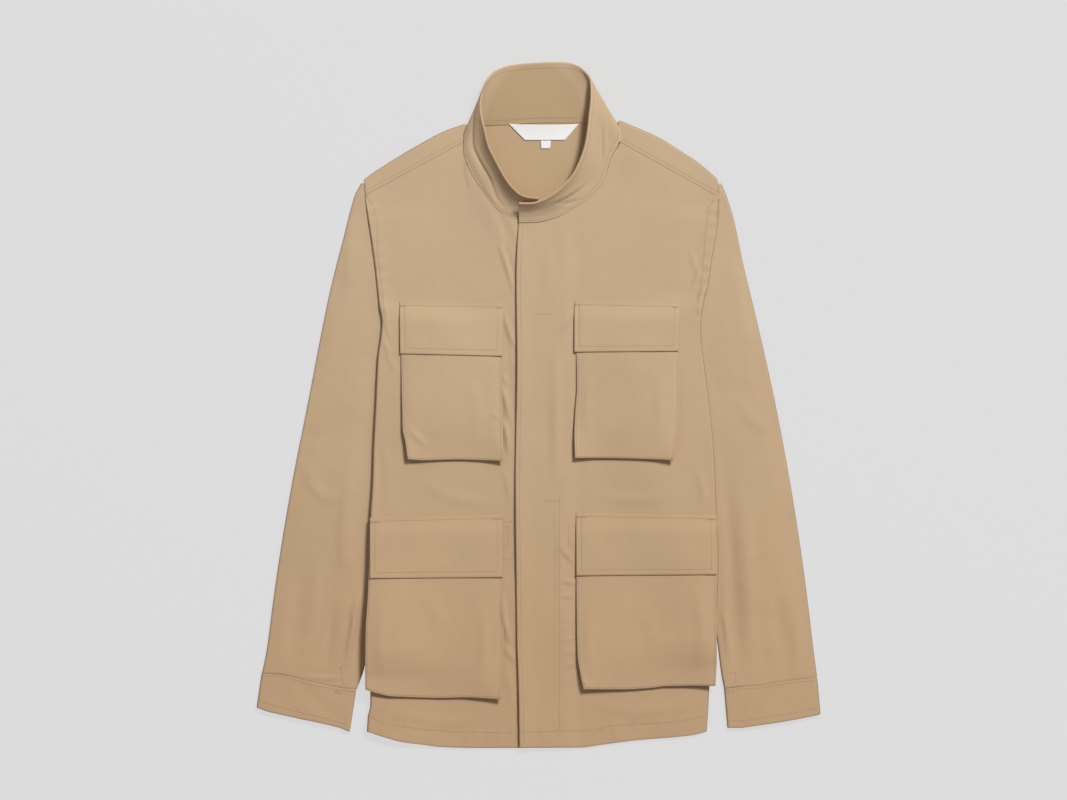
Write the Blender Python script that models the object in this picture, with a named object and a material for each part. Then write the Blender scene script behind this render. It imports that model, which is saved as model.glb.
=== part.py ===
"""A safari jacket laid flat on its back, arms down, seen from its front.

The frame is in metres: +X is the picture's right (the wearer's left), +Y runs
from hem to collar and +Z up from the surface it lies on. The origin lies on
that surface, in the middle of the jacket's plan. All sizes below are in
millimetres. SIDES are -1 for the picture's left and +1 for its right.
"""

import math

import bmesh
import bpy
from mathutils import Vector

MM = 0.001

# Walls and how the layers lie on each other
CLOTH = 1.2  # one wall of canvas with its seam allowance
BAND = 1.6  # the cuffs' doubled band
LABEL = 1.0
GAP = 0.3  # between two pieces at a seam
FLOOR = CLOTH / 2  # middle of a wall that lies on the surface
SLEEVE_FOLD = 1.6  # radius of the fold along a flattened sleeve
SIDE_FOLD = 1.6  # radius of the fold down a side of the body
SHOULDER_FOLD = 1.6
CUFF_FOLD = 1.8
OVER_SLEEVE = 5.4  # middle of the wall that lies on a sleeve
SEAM_LEVEL = FLOOR + 2 * SLEEVE_FOLD  # where fronts meet yoke and sleeves
UNDER_LEVEL = 2.8  # the front that laps under, in the middle
OVER_LEVEL = 4.6  # the front that laps over it
SIDE_DROP = 1.2  # how much a front sinks between its side fold and the sleeve's edge
FALL = 55.0  # over which a front comes down beside the sleeve under it
SLEEVE_MARGIN = 4.5  # how far past the sleeve's edge the side strip stays level
SLEEVE_RAMP = 10.0  # over which the side strip comes down beside the sleeve
UNDERARM_EASE = 130.0  # above the sleeve's hidden corner
FOOT_ABOVE = 5.0  # above the underarm turn, where a front's edge starts to come down
FOOT_EASE = 30.0
TURN_BELOW = 45.0  # above the turn, where the edge starts to turn under
TURN_EASE = 40.0
CORNER_Y = 250.0  # above here a front's edge is turned by CORNER_TURN of a right angle
CORNER_EASE = 30.0
CORNER_TURN = 0.35
WIDE_PLATEAU = 60.0  # a front sinks in full only where it lies this far over the sleeve
LAP_TO = 30.0  # the overlap reaches this far from x = 0
LAP_EASE = 18.0
NECK_EASE = 45.0
SHOULDER_GAP = 0.42
HIDDEN_PAST = 1.0  # what front and back leave free along the hidden armhole
YOKE_END = 1.0  # how much shorter the yoke is at the armhole
HEM_Y = -395.0  # about the hem's y
SLEEVE_TOP = 265.0
TOP_EASE = 45.0  # below the shoulder seam, over which a front settles

# Side line of the body, seen from above: y, x at the picture's left, x at its right.
# It is the armhole seam down to UNDERARM_TURN and the side fold below it.
BODY_SIDES = (
    ("y", "left", "right"),
    (-388, -205, 200),
    (-372, -204, 201),
    (-356, -201, 202),
    (-336, -201, 203),
    (-292, -201, 209),
    (-232, -201.5, 212),
    (-181, -202, 214),
    (-137, -201, 211.5),
    (-88, -198, 210),
    (-51, -197, 208),
    (-1, -194.5, 203),
    (35, -193, 198.5),
    (55, -192, 196),
    (77, -189, 193),
    (99, -187, 193),
    (120, -190.5, 196),
    (143, -193, 201.5),
    (170, -196, 205.5),
    (198, -200, 210.5),
    (231, -205, 215),
    (257, -209, 216.5),
    (265, -212, 217),
)
UNDERARM_TURN = {-1: (-187.0, 89.0), 1: (193.0, 99.0)}  # where the armhole goes under
SLEEVE_UNDERARM = {-1: (-108.0, 48.0), 1: (120.0, 51.0)}  # hidden corner of the sleeve
SIDE_SEAM_TOP = {-1: (-92.0, 44.0), 1: (104.0, 49.0)}  # side seam on the underside
SIDE_SEAM_HEM = {-1: -118.0, 1: 120.0}

HEM = (
    ("x", "y"),
    (-205, -388),
    (-181, -396),
    (-162, -401),
    (-139, -404),
    (-114, -407),
    (-76, -408),
    (48, -407.5),
    (76, -404),
    (114, -399),
    (162, -395),
    (186, -392),
    (200, -388),
)

# Fold along the top of each shoulder, from the neck out, and the forward seam's two ends
SHOULDER = {
    -1: (("x", "y"), (-89.5, 334), (-112, 326), (-146, 308), (-176, 290), (-199, 275), (-209.5, 267)),
    1: (("x", "y"), (97.5, 338), (121, 328), (143, 318), (164, 305), (190, 288), (214, 267)),
}
SHOULDER_SEAM = {-1: ((-90.5, 312.0), (-207.5, 249.0)), 1: ((98.5, 311.2), (213.5, 247.2))}
# Neck edge of each front, from the centre out
NECK = {
    -1: (
        ("x", "y"),
        (-90.5, 311.7),
        (-89.3, 298),
        (-81.5, 277),
        (-67.5, 255),
        (-54, 237),
        (-42, 228),
        (-29, 221.5),
        (-17, 221),
        (2, 223),
        (14, 226),
        (25, 230),
    ),
    1: (
        ("x", "y"),
        (-26, 217.2),
        (0, 218),
        (23, 224),
        (39, 233),
        (55, 243.4),
        (69, 257),
        (79, 273),
        (83.5, 288),
        (89, 301),
        (98.5, 310.9),
    ),
}
BACK_NECK = (
    ("x", "y"),
    (-89.5, 331),
    (-77, 332),
    (-63, 332.6),
    (-35, 334.6),
    (0, 336.6),
    (43, 336.6),
    (73, 337.6),
    (97.5, 335),
)
# Centre edges of the fronts: the wearer's left one laps over the right one
FLY_EDGE = (
    ("y", "x"),
    (-408, -23),
    (-344, -24),
    (-281, -26),
    (-195, -27),
    (-89, -28),
    (50, -26),
    (152, -27),
    (226, -24),
)
UNDERLAP_EDGE = (("y", "x"), (-408, 25), (230, 25))

# Long edges of each sleeve, down to its cuff
SLEEVE_OUTER = {
    -1: (
        ("y", "x"),
        (-321, -330),
        (-292, -324),
        (-232, -316),
        (-184, -309),
        (-95, -294),
        (6, -274),
        (89, -258),
        (137, -248),
        (196, -233),
        (249, -219),
        (265, -212),
    ),
    1: (
        ("y", "x"),
        (-324, 331),
        (-287, 326),
        (-253, 322),
        (-184, 313),
        (-95, 299),
        (6, 280),
        (108, 257),
        (166, 243),
        (226, 230),
        (265, 217),
    ),
}
SLEEVE_INNER = {
    -1: (
        ("y", "x"),
        (-339, -217),
        (-314, -208),
        (-268, -199),
        (-161, -168),
        (-54, -137),
        (48, -108),
    ),
    1: (
        ("y", "x"),
        (-337, 220),
        (-321, 217),
        (-276, 211),
        (-256, 206),
        (-161, 180),
        (-54, 149),
        (51, 120),
    ),
}
# Cuff seam and cuff edge, from the sleeve's outer side to its inner side
CUFF_SEAM = {
    -1: (
        ("x", "y"),
        (-330, -319),
        (-306, -320),
        (-286, -325),
        (-263, -331),
        (-242, -335),
        (-217, -338),
    ),
    1: (("x", "y"), (331, -324), (296, -328), (275, -331), (266, -333), (234, -335), (220, -337)),
}
CUFF_EDGE = {
    -1: (
        ("x", "y"),
        (-336, -360),
        (-322, -365),
        (-286, -373),
        (-257, -379),
        (-237, -384),
        (-225, -389),
    ),
    1: (("x", "y"), (335, -368), (316, -372), (289, -377), (262, -381), (241, -384), (224, -384)),
}

# Stand collar: its neck seam and the plan of its top edge, from the end that laps
# under, round the back, to the end that laps over. The curl says how gently it leaves
# the seam before it stands up: 1 is straight.
COLLAR = (
    ("seam x", "seam y", "seam z", "top x", "top y", "curl"),
    (2, 224.6, 3.1, -1, 246, 2.1),
    (-17, 222.6, 3.1, -17, 248, 2.1),
    (-29, 223, 3.2, -29, 256, 2.1),
    (-41.6, 229.4, 3.5, -40, 270, 2.1),
    (-53.6, 238.2, 3.8, -51, 290, 2.1),
    (-66.2, 255.6, 4.0, -60, 309, 2.1),
    (-80, 277.6, 4.3, -64, 326, 2.1),
    (-87.8, 298.4, 4.6, -67, 339, 1.9),
    (-88.7, 312.6, 4.8, -69, 352, 1.6),
    (-87.6, 325, 4.7, -68, 366, 1.15),
    (-83, 331.8, 3.9, -66, 376, 1.0),
    (-75, 334.5, 2.8, -62, 386, 1.0),
    (-61, 334.5, 1.6, -52, 397, 1.0),
    (-35, 335.5, 1.4, -33, 404, 1.0),
    (0, 337.5, 1.4, 0, 407, 1.0),
    (43, 337.5, 1.4, 30, 407.5, 1.0),
    (72, 338.5, 1.6, 46, 403.5, 1.0),
    (84, 338.2, 2.3, 55, 396, 1.0),
    (91.5, 334.8, 3.6, 60, 388, 1.0),
    (95.2, 328, 4.5, 61, 379, 1.1),
    (95.6, 317.5, 4.9, 61, 363, 1.3),
    (87.4, 302.6, 4.8, 59, 342, 1.6),
    (82, 289, 4.5, 57, 322, 1.9),
    (77.6, 274.2, 4.5, 52, 300, 2.0),
    (67.8, 258.4, 4.6, 42, 277, 2.1),
    (54.4, 245.2, 4.7, 32, 264, 1.9),
    (38.3, 234.8, 5.1, 20, 253, 2.0),
    (22.4, 225.7, 5.5, 6, 244.5, 2.1),
    (0, 219.8, 5.8, -8, 240, 2.1),
    (-24, 218.9, 5.8, -24, 240, 2.1),
)
COLLAR_BACK_RISE = 11.0
COLLAR_FRONT_RISE = 20.0
COLLAR_BACK_Y = 407.5
COLLAR_FRONT_Y = 240.0
COLLAR_SWEEP = 7  # how soon the top edge rises from the back round each side
COLLAR_WALL = 1.0
COLLAR_LAYER = 0.65  # each of its two layers lies this far from their middle
COLLAR_FINENESS = 3  # divisions between two rows of the table
COLLAR_RISES = (0.0, 0.28, 0.52, 0.76, 1.0)

# Pockets: the flap's top line is at distance 0 down the pocket
FLAP_RISE = 3.1
FLAP_RISE_OVER = 12.0
FLAP_OFF = 2.15  # flap's middle above the front's at its top line
BAG_START = 14.0  # below the flap's top line
BAG_OFF = 3.0  # bag's middle above the front's at its mouth
BAG_BELLY = 3.0  # how much further off the front it stands at its bottom
BAG_BELLY_OVER = 150.0
GUSSET_GAP = 1.1  # between a gusset and the cloth before and behind it
GUSSET_IN = 3.5  # gusset's line inside the bag's edge
GUSSET_START = 0.4  # share of the bag's length above which there is no gusset wall
POCKETS = {
    "chest_right": {
        "side": -1,
        "flap": (("y", "left", "right"), (59, -165, -43), (122.5, -166, -42)),
        "flap_ends": ((123, 61), (121, 58)),
        "bag": (
            ("y", "left", "right"),
            (-65, -156, -42),
            (-43, -159, -43),
            (-29, -162, -43),
            (60, -164, -44.5),
            (109, -165, -43),
        ),
        "bag_ends": ((109, -64.5), (107, -66.5)),
        "bow": (("share", "drop"), (0, 0), (0.14, 1), (0.54, -0.7), (1, 0)),
        "inset": (GUSSET_IN, GUSSET_IN),
    },
    "chest_left": {
        "side": 1,
        "flap": (("y", "left", "right"), (63.5, 42, 166), (124, 42, 168)),
        "flap_ends": ((124, 63), (121, 64)),
        "bag": (
            ("y", "left", "right"),
            (-66, 43, 160),
            (-36, 42, 164),
            (-7, 43, 166.5),
            (21, 45, 167),
            (110, 43, 167),
        ),
        "bag_ends": ((110, -63), (107, -66)),
        "bow": (("share", "drop"), (0, 0), (0.46, -1), (0.82, -0.8), (1, 0)),
        "inset": (GUSSET_IN, GUSSET_IN),
    },
    "lower_right": {
        "side": -1,
        "flap": (("y", "left", "right"), (-208, -201, -43), (-130, -201, -43)),
        "flap_ends": ((-134, -206), (-130, -205)),
        "bag": (
            ("y", "left", "right"),
            (-349, -205.5, -45),
            (-330, -206.5, -44),
            (-271, -206, -42),
            (-218, -203, -43.5),
            (-144, -201, -44),
        ),
        "bag_ends": ((-148, -338), (-144, -350)),
        "bow": (
            ("share", "drop"),
            (0, 0),
            (0.08, 3.5),
            (0.19, 6),
            (0.36, 5.3),
            (0.54, 4),
            (0.78, 0.6),
            (1, 0),
        ),
        "inset": (9.0, GUSSET_IN),
    },
    "lower_left": {
        "side": 1,
        "flap": (("y", "left", "right"), (-203, 44.5, 211.5), (-128, 44, 211)),
        "flap_ends": ((-128, -203), (-131, -201.5)),
        "bag": (
            ("y", "left", "right"),
            (-338, 53, 209.5),
            (-324, 50, 210.5),
            (-299, 46, 211.5),
            (-271, 45, 211),
            (-142, 44, 210.5),
        ),
        "bag_ends": ((-142, -338), (-145, -334)),
        "bow": (
            ("share", "drop"),
            (0, 0),
            (0.35, 1.6),
            (0.53, 0.4),
            (0.62, -1),
            (0.8, -1),
            (1, 0),
        ),
        "inset": (GUSSET_IN, 9.0),
    },
}

NECK_LABEL = ((-36.5, 334.8), (48, 334.8), (31, 315), (-17, 315))
SIZE_TAB = ((2, 314.5), (14, 314.5), (13.5, 305), (2.5, 305))

# How finely each piece is divided
ROWS = (12, 4, 12, 2)  # shoulder to underarm turn, to side seam's top, to HEM_ROWS_FROM, to hem
HEM_ROWS_FROM = -350.0
FRONT_COLUMNS = (9, 9)  # from the centre edge to the neck's end of the shoulder seam, and on
NECK_CROWDING = 1.6  # how much closer the columns are toward that end, on either side of it
SIDE_CROWDING = 1.4
TOP_PASSES = 12
BACK_COLUMNS = (5, 8, 5)  # over one shoulder, the neck and the other shoulder
SMALL = 0.01
CORNER_DROP = 1.5  # the front's turned edge starts this far below the shoulder seam
FOLD_STEPS = 4
STRIP_RISES = (0.0, 0.3, 0.5, 0.7, 1.0)  # shares of the ramp beside the sleeve
YOKE_ROWS = 2
POCKET_COLUMNS = (0.0, 0.05, 0.12, 0.22, 0.36, 0.5, 0.64, 0.78, 0.88, 0.95, 1.0)
FLAP_ROWS = (0.0, 0.1, 0.22, 0.48, 0.74, 1.0)
BAG_FLAP_ROWS = 4  # the last rows of the flap, which the bag repeats under it
BAG_ROWS = 5
GUSSET_STEPS = (3, 6)  # down a side, along the bottom
SLEEVE_STATIONS = 10
SLEEVE_ACROSS = (6, 3)  # outside and inside of the underarm turn
CUFF_STATIONS = 2
CUFF_BEND = 0.66  # share of a cuff's width where its rows change spacing
ARMHOLE_STEPS = 6

CANVAS = (0.53, 0.38, 0.23)
LABEL_CLOTH = (0.86, 0.85, 0.82)


def mix(a, b, share):
    return a + (b - a) * share


def ease(share):
    share = min(1.0, max(0.0, share))
    return share * share * (3 - 2 * share)


def read(table, at, column=1):
    """A column of a table at a place, eased through its rows without overshoot."""
    rows = table[1:]
    if at <= rows[0][0]:
        return rows[0][column]
    if at >= rows[-1][0]:
        return rows[-1][column]
    k = next(n for n in range(len(rows) - 1) if at <= rows[n + 1][0])

    def chord(n):
        return (rows[n + 1][column] - rows[n][column]) / (rows[n + 1][0] - rows[n][0])

    def slope(n):
        if n in (0, len(rows) - 1):
            return chord(min(n, len(rows) - 2))
        before, after = chord(n - 1), chord(n)
        return 0.0 if before * after <= 0 else 2 * before * after / (before + after)

    span = rows[k + 1][0] - rows[k][0]
    t = (at - rows[k][0]) / span
    start, end = rows[k][column], rows[k + 1][column]
    return (
        (2 * t**3 - 3 * t**2 + 1) * start
        + (t**3 - 2 * t**2 + t) * span * slope(k)
        + (3 * t**2 - 2 * t**3) * end
        + (t**3 - t**2) * span * slope(k + 1)
    )


def walk(points, share):
    """The point at a share of the length of a chain of points."""
    lengths = [(b - a).length for a, b in zip(points, points[1:])]
    left = min(1.0, max(0.0, share)) * sum(lengths)
    for a, b, length in zip(points, points[1:], lengths):
        if left <= length:
            return a.lerp(b, left / length)
        left -= length
    return points[-1].copy()


def on_plan(table, shift=(0, 0)):
    return [Vector((row[0] + shift[0], row[1] + shift[1])) for row in table[1:]]


def material(name, colour, roughness):
    made = bpy.data.materials.new(name)
    made.use_nodes = True
    shader = made.node_tree.nodes["Principled BSDF"]
    shader.inputs["Base Color"].default_value = (*colour, 1.0)
    shader.inputs["Roughness"].default_value = roughness
    shader.inputs["Metallic"].default_value = 0.0
    return made


def cloth(name, rows, columns, point, wall=CLOTH, closed=False, colour=CANVAS):
    """A wall round the grid of point(row, column), which gives None past the cloth's edge."""
    bm = bmesh.new()
    grid = []
    for row in range(rows + 1):
        places = [point(row, column) for column in range(columns + (0 if closed else 1))]
        grid.append([None if p is None else bm.verts.new(Vector(p) * MM) for p in places])
    for row in range(rows):
        for column in range(columns):
            after = (column + 1) % len(grid[row])
            this, below = grid[row], grid[row + 1]
            corners = (this[column], this[after], below[after], below[column])
            if None not in corners:
                bm.faces.new(corners)
    bmesh.ops.remove_doubles(bm, verts=bm.verts, dist=0.00002)
    mesh = bpy.data.meshes.new(name)
    bm.to_mesh(mesh)
    bm.free()
    piece = bpy.data.objects.new(name, mesh)
    bpy.context.scene.collection.objects.link(piece)
    piece.data.materials.append(material(name, colour, 0.9))
    shell = piece.modifiers.new("wall", "SOLIDIFY")
    shell.thickness = wall * MM
    shell.offset = 0.0
    return piece


# The body ------------------------------------------------------------------


def side_x(side, y):
    return read(BODY_SIDES, y, 1 if side < 0 else 2)


def sleeve_edge_x(side, y):
    """Inner limit of the sleeve that lies under the body."""
    turn, corner = UNDERARM_TURN[side], SLEEVE_UNDERARM[side]
    if y > corner[1]:
        return mix(corner[0], turn[0], min(1.0, (y - corner[1]) / (turn[1] - corner[1])))
    return read(SLEEVE_INNER[side], y)


def side_seam_x(side, y):
    """Side seam on the underside, and above it the hidden armhole edge."""
    turn, corner = UNDERARM_TURN[side], SIDE_SEAM_TOP[side]
    if y >= turn[1]:
        return side_x(side, y)
    if y > corner[1]:
        return mix(corner[0], turn[0], (y - corner[1]) / (turn[1] - corner[1]))
    hem = read(HEM, SIDE_SEAM_HEM[side])
    return mix(corner[0], SIDE_SEAM_HEM[side], (corner[1] - y) / (corner[1] - hem))


def past_seam(side, y):
    """Half the gap at the side seam, and more along the hidden armhole."""
    return GAP / 2 + (HIDDEN_PAST if y > SIDE_SEAM_TOP[side][1] else 0.0)


def strip_level(side, x, y):
    """Middle of the wall between side fold and side seam, over sleeve or surface."""
    past = (sleeve_edge_x(side, y) - x) * side - SLEEVE_MARGIN
    return mix(OVER_SLEEVE, FLOOR, ease(past / SLEEVE_RAMP))


def side_turn(side, y):
    """How far a front's edge has turned under at a height, in radians."""
    above_turn = y - UNDERARM_TURN[side][1]
    if above_turn > TURN_BELOW:
        shoulder = ease((CORNER_Y - y) / CORNER_EASE)
        return math.pi / 2 * mix(CORNER_TURN, 1.0, shoulder)
    return math.pi / 2 * (1 + ease((TURN_BELOW - above_turn) / TURN_EASE))


def fold_foot(side, y):
    """Level of a front's edge where its side fold ends."""
    turn = UNDERARM_TURN[side][1]
    if y <= turn:
        return strip_level(side, side_x(side, y) - side * 2 * SIDE_FOLD, y)
    return mix(OVER_SLEEVE, SEAM_LEVEL, ease((y - turn - FOOT_ABOVE) / FOOT_EASE))


def fold_start(side, y):
    """x where the side fold begins, and the level there."""
    turned = side_turn(side, y)
    inward = GAP + CLOTH / 2 + SIDE_FOLD * math.sin(min(turned, math.pi / 2))
    level = fold_foot(side, y) + SIDE_FOLD * (1 - math.cos(turned))
    return side_x(side, y) - side * inward, level


def front_shelf_x(side, y):
    """How far in the front stays up over the sleeve, eased past the underarm."""
    turn, corner = UNDERARM_TURN[side], SLEEVE_UNDERARM[side]
    if y < corner[1]:
        return sleeve_edge_x(side, y)
    return mix(corner[0], turn[0], ease((y - corner[1]) / UNDERARM_EASE))


def front_level(side, x, y):
    """Middle of a front's wall above the surface."""
    start, level = fold_start(side, y)
    inward = max(0.0, (start - x) * side)
    plateau = max(1.0, (start - front_shelf_x(side, y)) * side)
    level -= SIDE_DROP * min(1.0, inward / plateau) * min(1.0, plateau / WIDE_PLATEAU)
    edge = UNDER_LEVEL if side < 0 else OVER_LEVEL
    out = x * side - LAP_TO
    level = mix(level, mix(edge, UNDER_LEVEL, ease(out / LAP_EASE)), ease((inward - plateau) / FALL))
    top = mix(edge, SEAM_LEVEL, ease(out / NECK_EASE))
    return mix(top, level, ease((front_top(side, x) - y) / TOP_EASE))


def front_top(side, x):
    """Top edge of a front: neck edge, then forward shoulder seam."""
    near, far = (Vector(end) for end in SHOULDER_SEAM[side])
    if (x - near.x) * side <= 0:
        return read(NECK[side], x)
    return mix(near.y, far.y, (x - near.x) / (far.x - near.x)) - SHOULDER_GAP


def centre_x(side, y):
    return read(UNDERLAP_EDGE if side < 0 else FLY_EDGE, y)


def front_columns(side):
    """Shares across a front, with one of them at the neck's end of the shoulder seam."""
    x, y = SHOULDER_SEAM[side][0]
    near = (x - centre_x(side, y)) / (fold_start(side, y)[0] - centre_x(side, y))
    inner, outer = FRONT_COLUMNS
    columns = [near * (1 - (1 - n / inner) ** NECK_CROWDING) for n in range(inner)]
    columns += [mix(1.0, near, (1 - n / outer) ** SIDE_CROWDING) for n in range(outer + 1)]
    return columns


def row_level(side, row):
    """y of a row at a side edge, from the underarm turn down."""
    stops = (UNDERARM_TURN[side][1], SIDE_SEAM_TOP[side][1], HEM_ROWS_FROM)
    row -= ROWS[0]
    for start, end, count in zip(stops, stops[1:], ROWS[1:]):
        if row <= count:
            return mix(start, end, row / count)
        row -= count
    return HEM_ROWS_FROM


def row_place(row, top, turn, level, hem):
    """y of a row's point from its column's own top, turn and hem."""
    if row <= ROWS[0]:
        return mix(top, turn, row / ROWS[0])
    past = row - sum(ROWS[:3])
    return level if past <= 0 else mix(level, hem, past / ROWS[3])


def front(side, name):
    columns = front_columns(side)
    last = len(columns) - 1

    def flat_x(share, y):
        return mix(centre_x(side, y), fold_start(side, y)[0], share)

    def flat_y(row, across):
        top = SHOULDER_SEAM[side][0][1]
        for _ in range(TOP_PASSES):
            top = front_top(side, flat_x(across, top))
        hem = read(HEM, flat_x(across, HEM_Y))
        return row_place(row, top, UNDERARM_TURN[side][1], row_level(side, row), hem)

    def point(row, column):
        if column <= last:
            y = flat_y(row, columns[column])
            x = flat_x(columns[column], y)
            return x, y, front_level(side, x, y)
        y = flat_y(row, 1.0) - (CORNER_DROP if row == 0 else 0.0)
        start, level = fold_start(side, y)
        turned = side_turn(side, y)
        step = column - last
        if step <= FOLD_STEPS:
            angle = turned * step / FOLD_STEPS
            out = SIDE_FOLD * math.sin(angle)
            return start + side * out, y, level - SIDE_FOLD * (1 - math.cos(angle))
        if row <= ROWS[0]:
            return None
        step -= FOLD_STEPS
        end = side_seam_x(side, y) + side * past_seam(side, y)
        x = end
        if step <= len(STRIP_RISES):
            inward = SLEEVE_MARGIN + SLEEVE_RAMP * STRIP_RISES[step - 1]
            x = sleeve_edge_x(side, y) - side * inward
            x = side * min(start * side, max(end * side, x * side))
        return x, y, strip_level(side, x, y)

    return cloth(name, sum(ROWS), last + FOLD_STEPS + len(STRIP_RISES) + 1, point)


def shoulder_line(side, x):
    """Fold point, seam point and the way from one to the other, at an x of the fold."""
    rows = SHOULDER[side][1:]
    near, far = (Vector(end) for end in SHOULDER_SEAM[side])
    fold = Vector((x, read(("x", *sorted(rows)), x)))
    seam = near.lerp(far, (x - rows[0][0]) / (rows[-1][0] - rows[0][0]))
    return fold, seam, (seam - fold).normalized()


def back():
    """Back panel: flat on the surface, then over each shoulder to the forward seam."""
    outer_left, left = SHOULDER[-1][-1][0] + YOKE_END, SHOULDER[-1][1][0]
    outer_right, right = SHOULDER[1][-1][0] - YOKE_END, SHOULDER[1][1][0]
    stops = (outer_left, left, right, outer_right)
    tops = []
    for start, end, count in zip(stops, stops[1:], BACK_COLUMNS):
        tops += [mix(start, end, n / count) for n in range(count)]
    tops.append(outer_right)

    def edge(side, y):
        return side_seam_x(side, y) - side * past_seam(side, y)

    def over_shoulder(x):
        return -1 if x < left + SMALL else 1 if x > right - SMALL else 0

    def flat_top(x):
        if not over_shoulder(x):
            return Vector((x, read(BACK_NECK, x)))
        fold, _, way = shoulder_line(over_shoulder(x), x)
        return fold + way * (SHOULDER_FOLD + CLOTH / 2)

    def flat_point(row, x_top):
        top = flat_top(x_top)
        across = (top.x - edge(-1, top.y)) / (edge(1, top.y) - edge(-1, top.y))
        across = min(1.0, max(0.0, across))
        level = mix(row_level(-1, row), row_level(1, row), across)
        turn = mix(UNDERARM_TURN[-1][1], UNDERARM_TURN[1][1], across)
        hem = read(HEM, mix(edge(-1, HEM_Y), edge(1, HEM_Y), across))
        y = row_place(row, top.y, turn, level, hem)
        levels = [y if row <= ROWS[0] else row_level(side, row) for side in (-1, 1)]
        return mix(edge(-1, levels[0]), edge(1, levels[1]), across), y, FLOOR

    def point(row, column):
        """Rows run from the forward seam over the shoulder and down to the hem."""
        x_top = tops[column]
        row -= YOKE_ROWS + FOLD_STEPS
        if row >= 0:
            return flat_point(row, x_top)
        side = over_shoulder(x_top)
        if not side:
            return None
        fold, seam, way = shoulder_line(side, x_top)
        row += FOLD_STEPS
        start = fold + way * (CLOTH / 2 + SHOULDER_FOLD)
        if row <= 0:
            place = start.lerp(seam, -row / YOKE_ROWS)
            return place.x, place.y, SEAM_LEVEL
        angle = math.pi * row / FOLD_STEPS
        place = start - way * SHOULDER_FOLD * math.sin(angle)
        return place.x, place.y, FLOOR + SHOULDER_FOLD * (1 + math.cos(angle))

    return cloth("back_panel", sum(ROWS) + FOLD_STEPS + YOKE_ROWS, len(tops) - 1, point)


# Sleeves and cuffs -----------------------------------------------------------


def tube_ring(width, fold, wall, bend):
    """Section of a flattened tube: distance in from its outer edge, and level.

    One of its points lies at the share bend of its width.
    """
    low = wall / 2
    near, far = low + fold, width - low - fold
    outer, inner = SLEEVE_ACROSS
    flat = [mix(near, width * bend, n / outer) for n in range(outer)]
    flat += [mix(width * bend, far, n / inner) for n in range(inner + 1)]
    turns = [math.pi * n / FOLD_STEPS for n in range(FOLD_STEPS)]
    ring = [(place, low + 2 * fold) for place in flat[:-1]]
    ring += [(far + fold * math.sin(a), low + fold * (1 + math.cos(a))) for a in turns]
    ring += [(place, low) for place in reversed(flat[1:])]
    ring += [(near - fold * math.sin(a), low + fold * (1 - math.cos(a))) for a in turns]
    return ring


def length_of(points):
    return sum((b - a).length for a, b in zip(points, points[1:]))


def armhole(side):
    """The sleeve's end seen from above, from the shoulder to the underarm."""
    turn, corner = UNDERARM_TURN[side], SLEEVE_UNDERARM[side]
    levels = [mix(SLEEVE_TOP, turn[1], n / ARMHOLE_STEPS) for n in range(ARMHOLE_STEPS)]
    line = [Vector((side_x(side, y), y)) for y in levels] + [Vector(turn), Vector(corner)]
    return [place + Vector((side * 3 * GAP, -2 * GAP)) for place in line]


def sleeve(side, name):
    head = armhole(side)
    wrist = on_plan(CUFF_SEAM[side], (0, GAP))
    outer_top, inner_top = head[0].y, head[-1].y
    bend = length_of(head[:-1]) / length_of(head)
    wide, narrow = length_of(head), length_of(wrist)

    def point(station, column):
        down = station / SLEEVE_STATIONS
        width = mix(wide, narrow, down)
        inward, level = tube_ring(width, SLEEVE_FOLD, CLOTH, bend)[column]
        across = inward / width
        y_out = mix(outer_top, wrist[0].y, down)
        y_in = mix(inner_top, wrist[-1].y, down)
        outer = Vector((read(SLEEVE_OUTER[side], y_out), y_out))
        inner = Vector((read(SLEEVE_INNER[side], y_in), y_in))
        place = outer.lerp(inner, across)
        place += (walk(head, across) - head[0].lerp(head[-1], across)) * (1 - down)
        place += (walk(wrist, across) - wrist[0].lerp(wrist[-1], across)) * down
        return place.x, place.y, level

    count = 2 * sum(SLEEVE_ACROSS) + 2 * FOLD_STEPS
    return cloth(name, SLEEVE_STATIONS, count, point, closed=True)


def cuff(side, name):
    top = on_plan(CUFF_SEAM[side])
    bottom = on_plan(CUFF_EDGE[side])

    def point(station, column):
        down = station / CUFF_STATIONS
        width = mix(length_of(top), length_of(bottom), down)
        inward, level = tube_ring(width, CUFF_FOLD, BAND, CUFF_BEND)[column]
        place = walk(top, inward / width).lerp(walk(bottom, inward / width), down)
        return place.x, place.y, level

    count = 2 * sum(SLEEVE_ACROSS) + 2 * FOLD_STEPS
    return cloth(name, CUFF_STATIONS, count, point, wall=BAND, closed=True)


# Collar ------------------------------------------------------------------------


def collar_row(row, rise):
    """A point of a row of the collar's table, a share up from its seam."""
    seam_x, seam_y, seam_z, top_x, top_y, curl = COLLAR[1 + min(len(COLLAR) - 2, max(0, row))]
    toward_back = (top_y - COLLAR_FRONT_Y) / (COLLAR_BACK_Y - COLLAR_FRONT_Y)
    top_z = mix(COLLAR_FRONT_RISE, COLLAR_BACK_RISE, toward_back**COLLAR_SWEEP)
    z = mix(seam_z, top_z, rise**curl)
    return Vector((mix(seam_x, top_x, rise), mix(seam_y, top_y, rise), z))


def collar_middle(at, rise):
    """Middle of the two layers at a place along the table, a share up from the seam."""
    at = min(len(COLLAR) - 2.0, max(0.0, at))
    row = min(len(COLLAR) - 3, int(at))
    t = at - row
    before, start, end, after = (collar_row(row + n, rise) for n in (-1, 0, 1, 2))
    return (
        start * (1 - 2.5 * t**2 + 1.5 * t**3)
        + end * (0.5 * t + 2 * t**2 - 1.5 * t**3)
        + before * (-0.5 * t + t**2 - 0.5 * t**3)
        + after * (0.5 * t**3 - 0.5 * t**2)
    )


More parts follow.
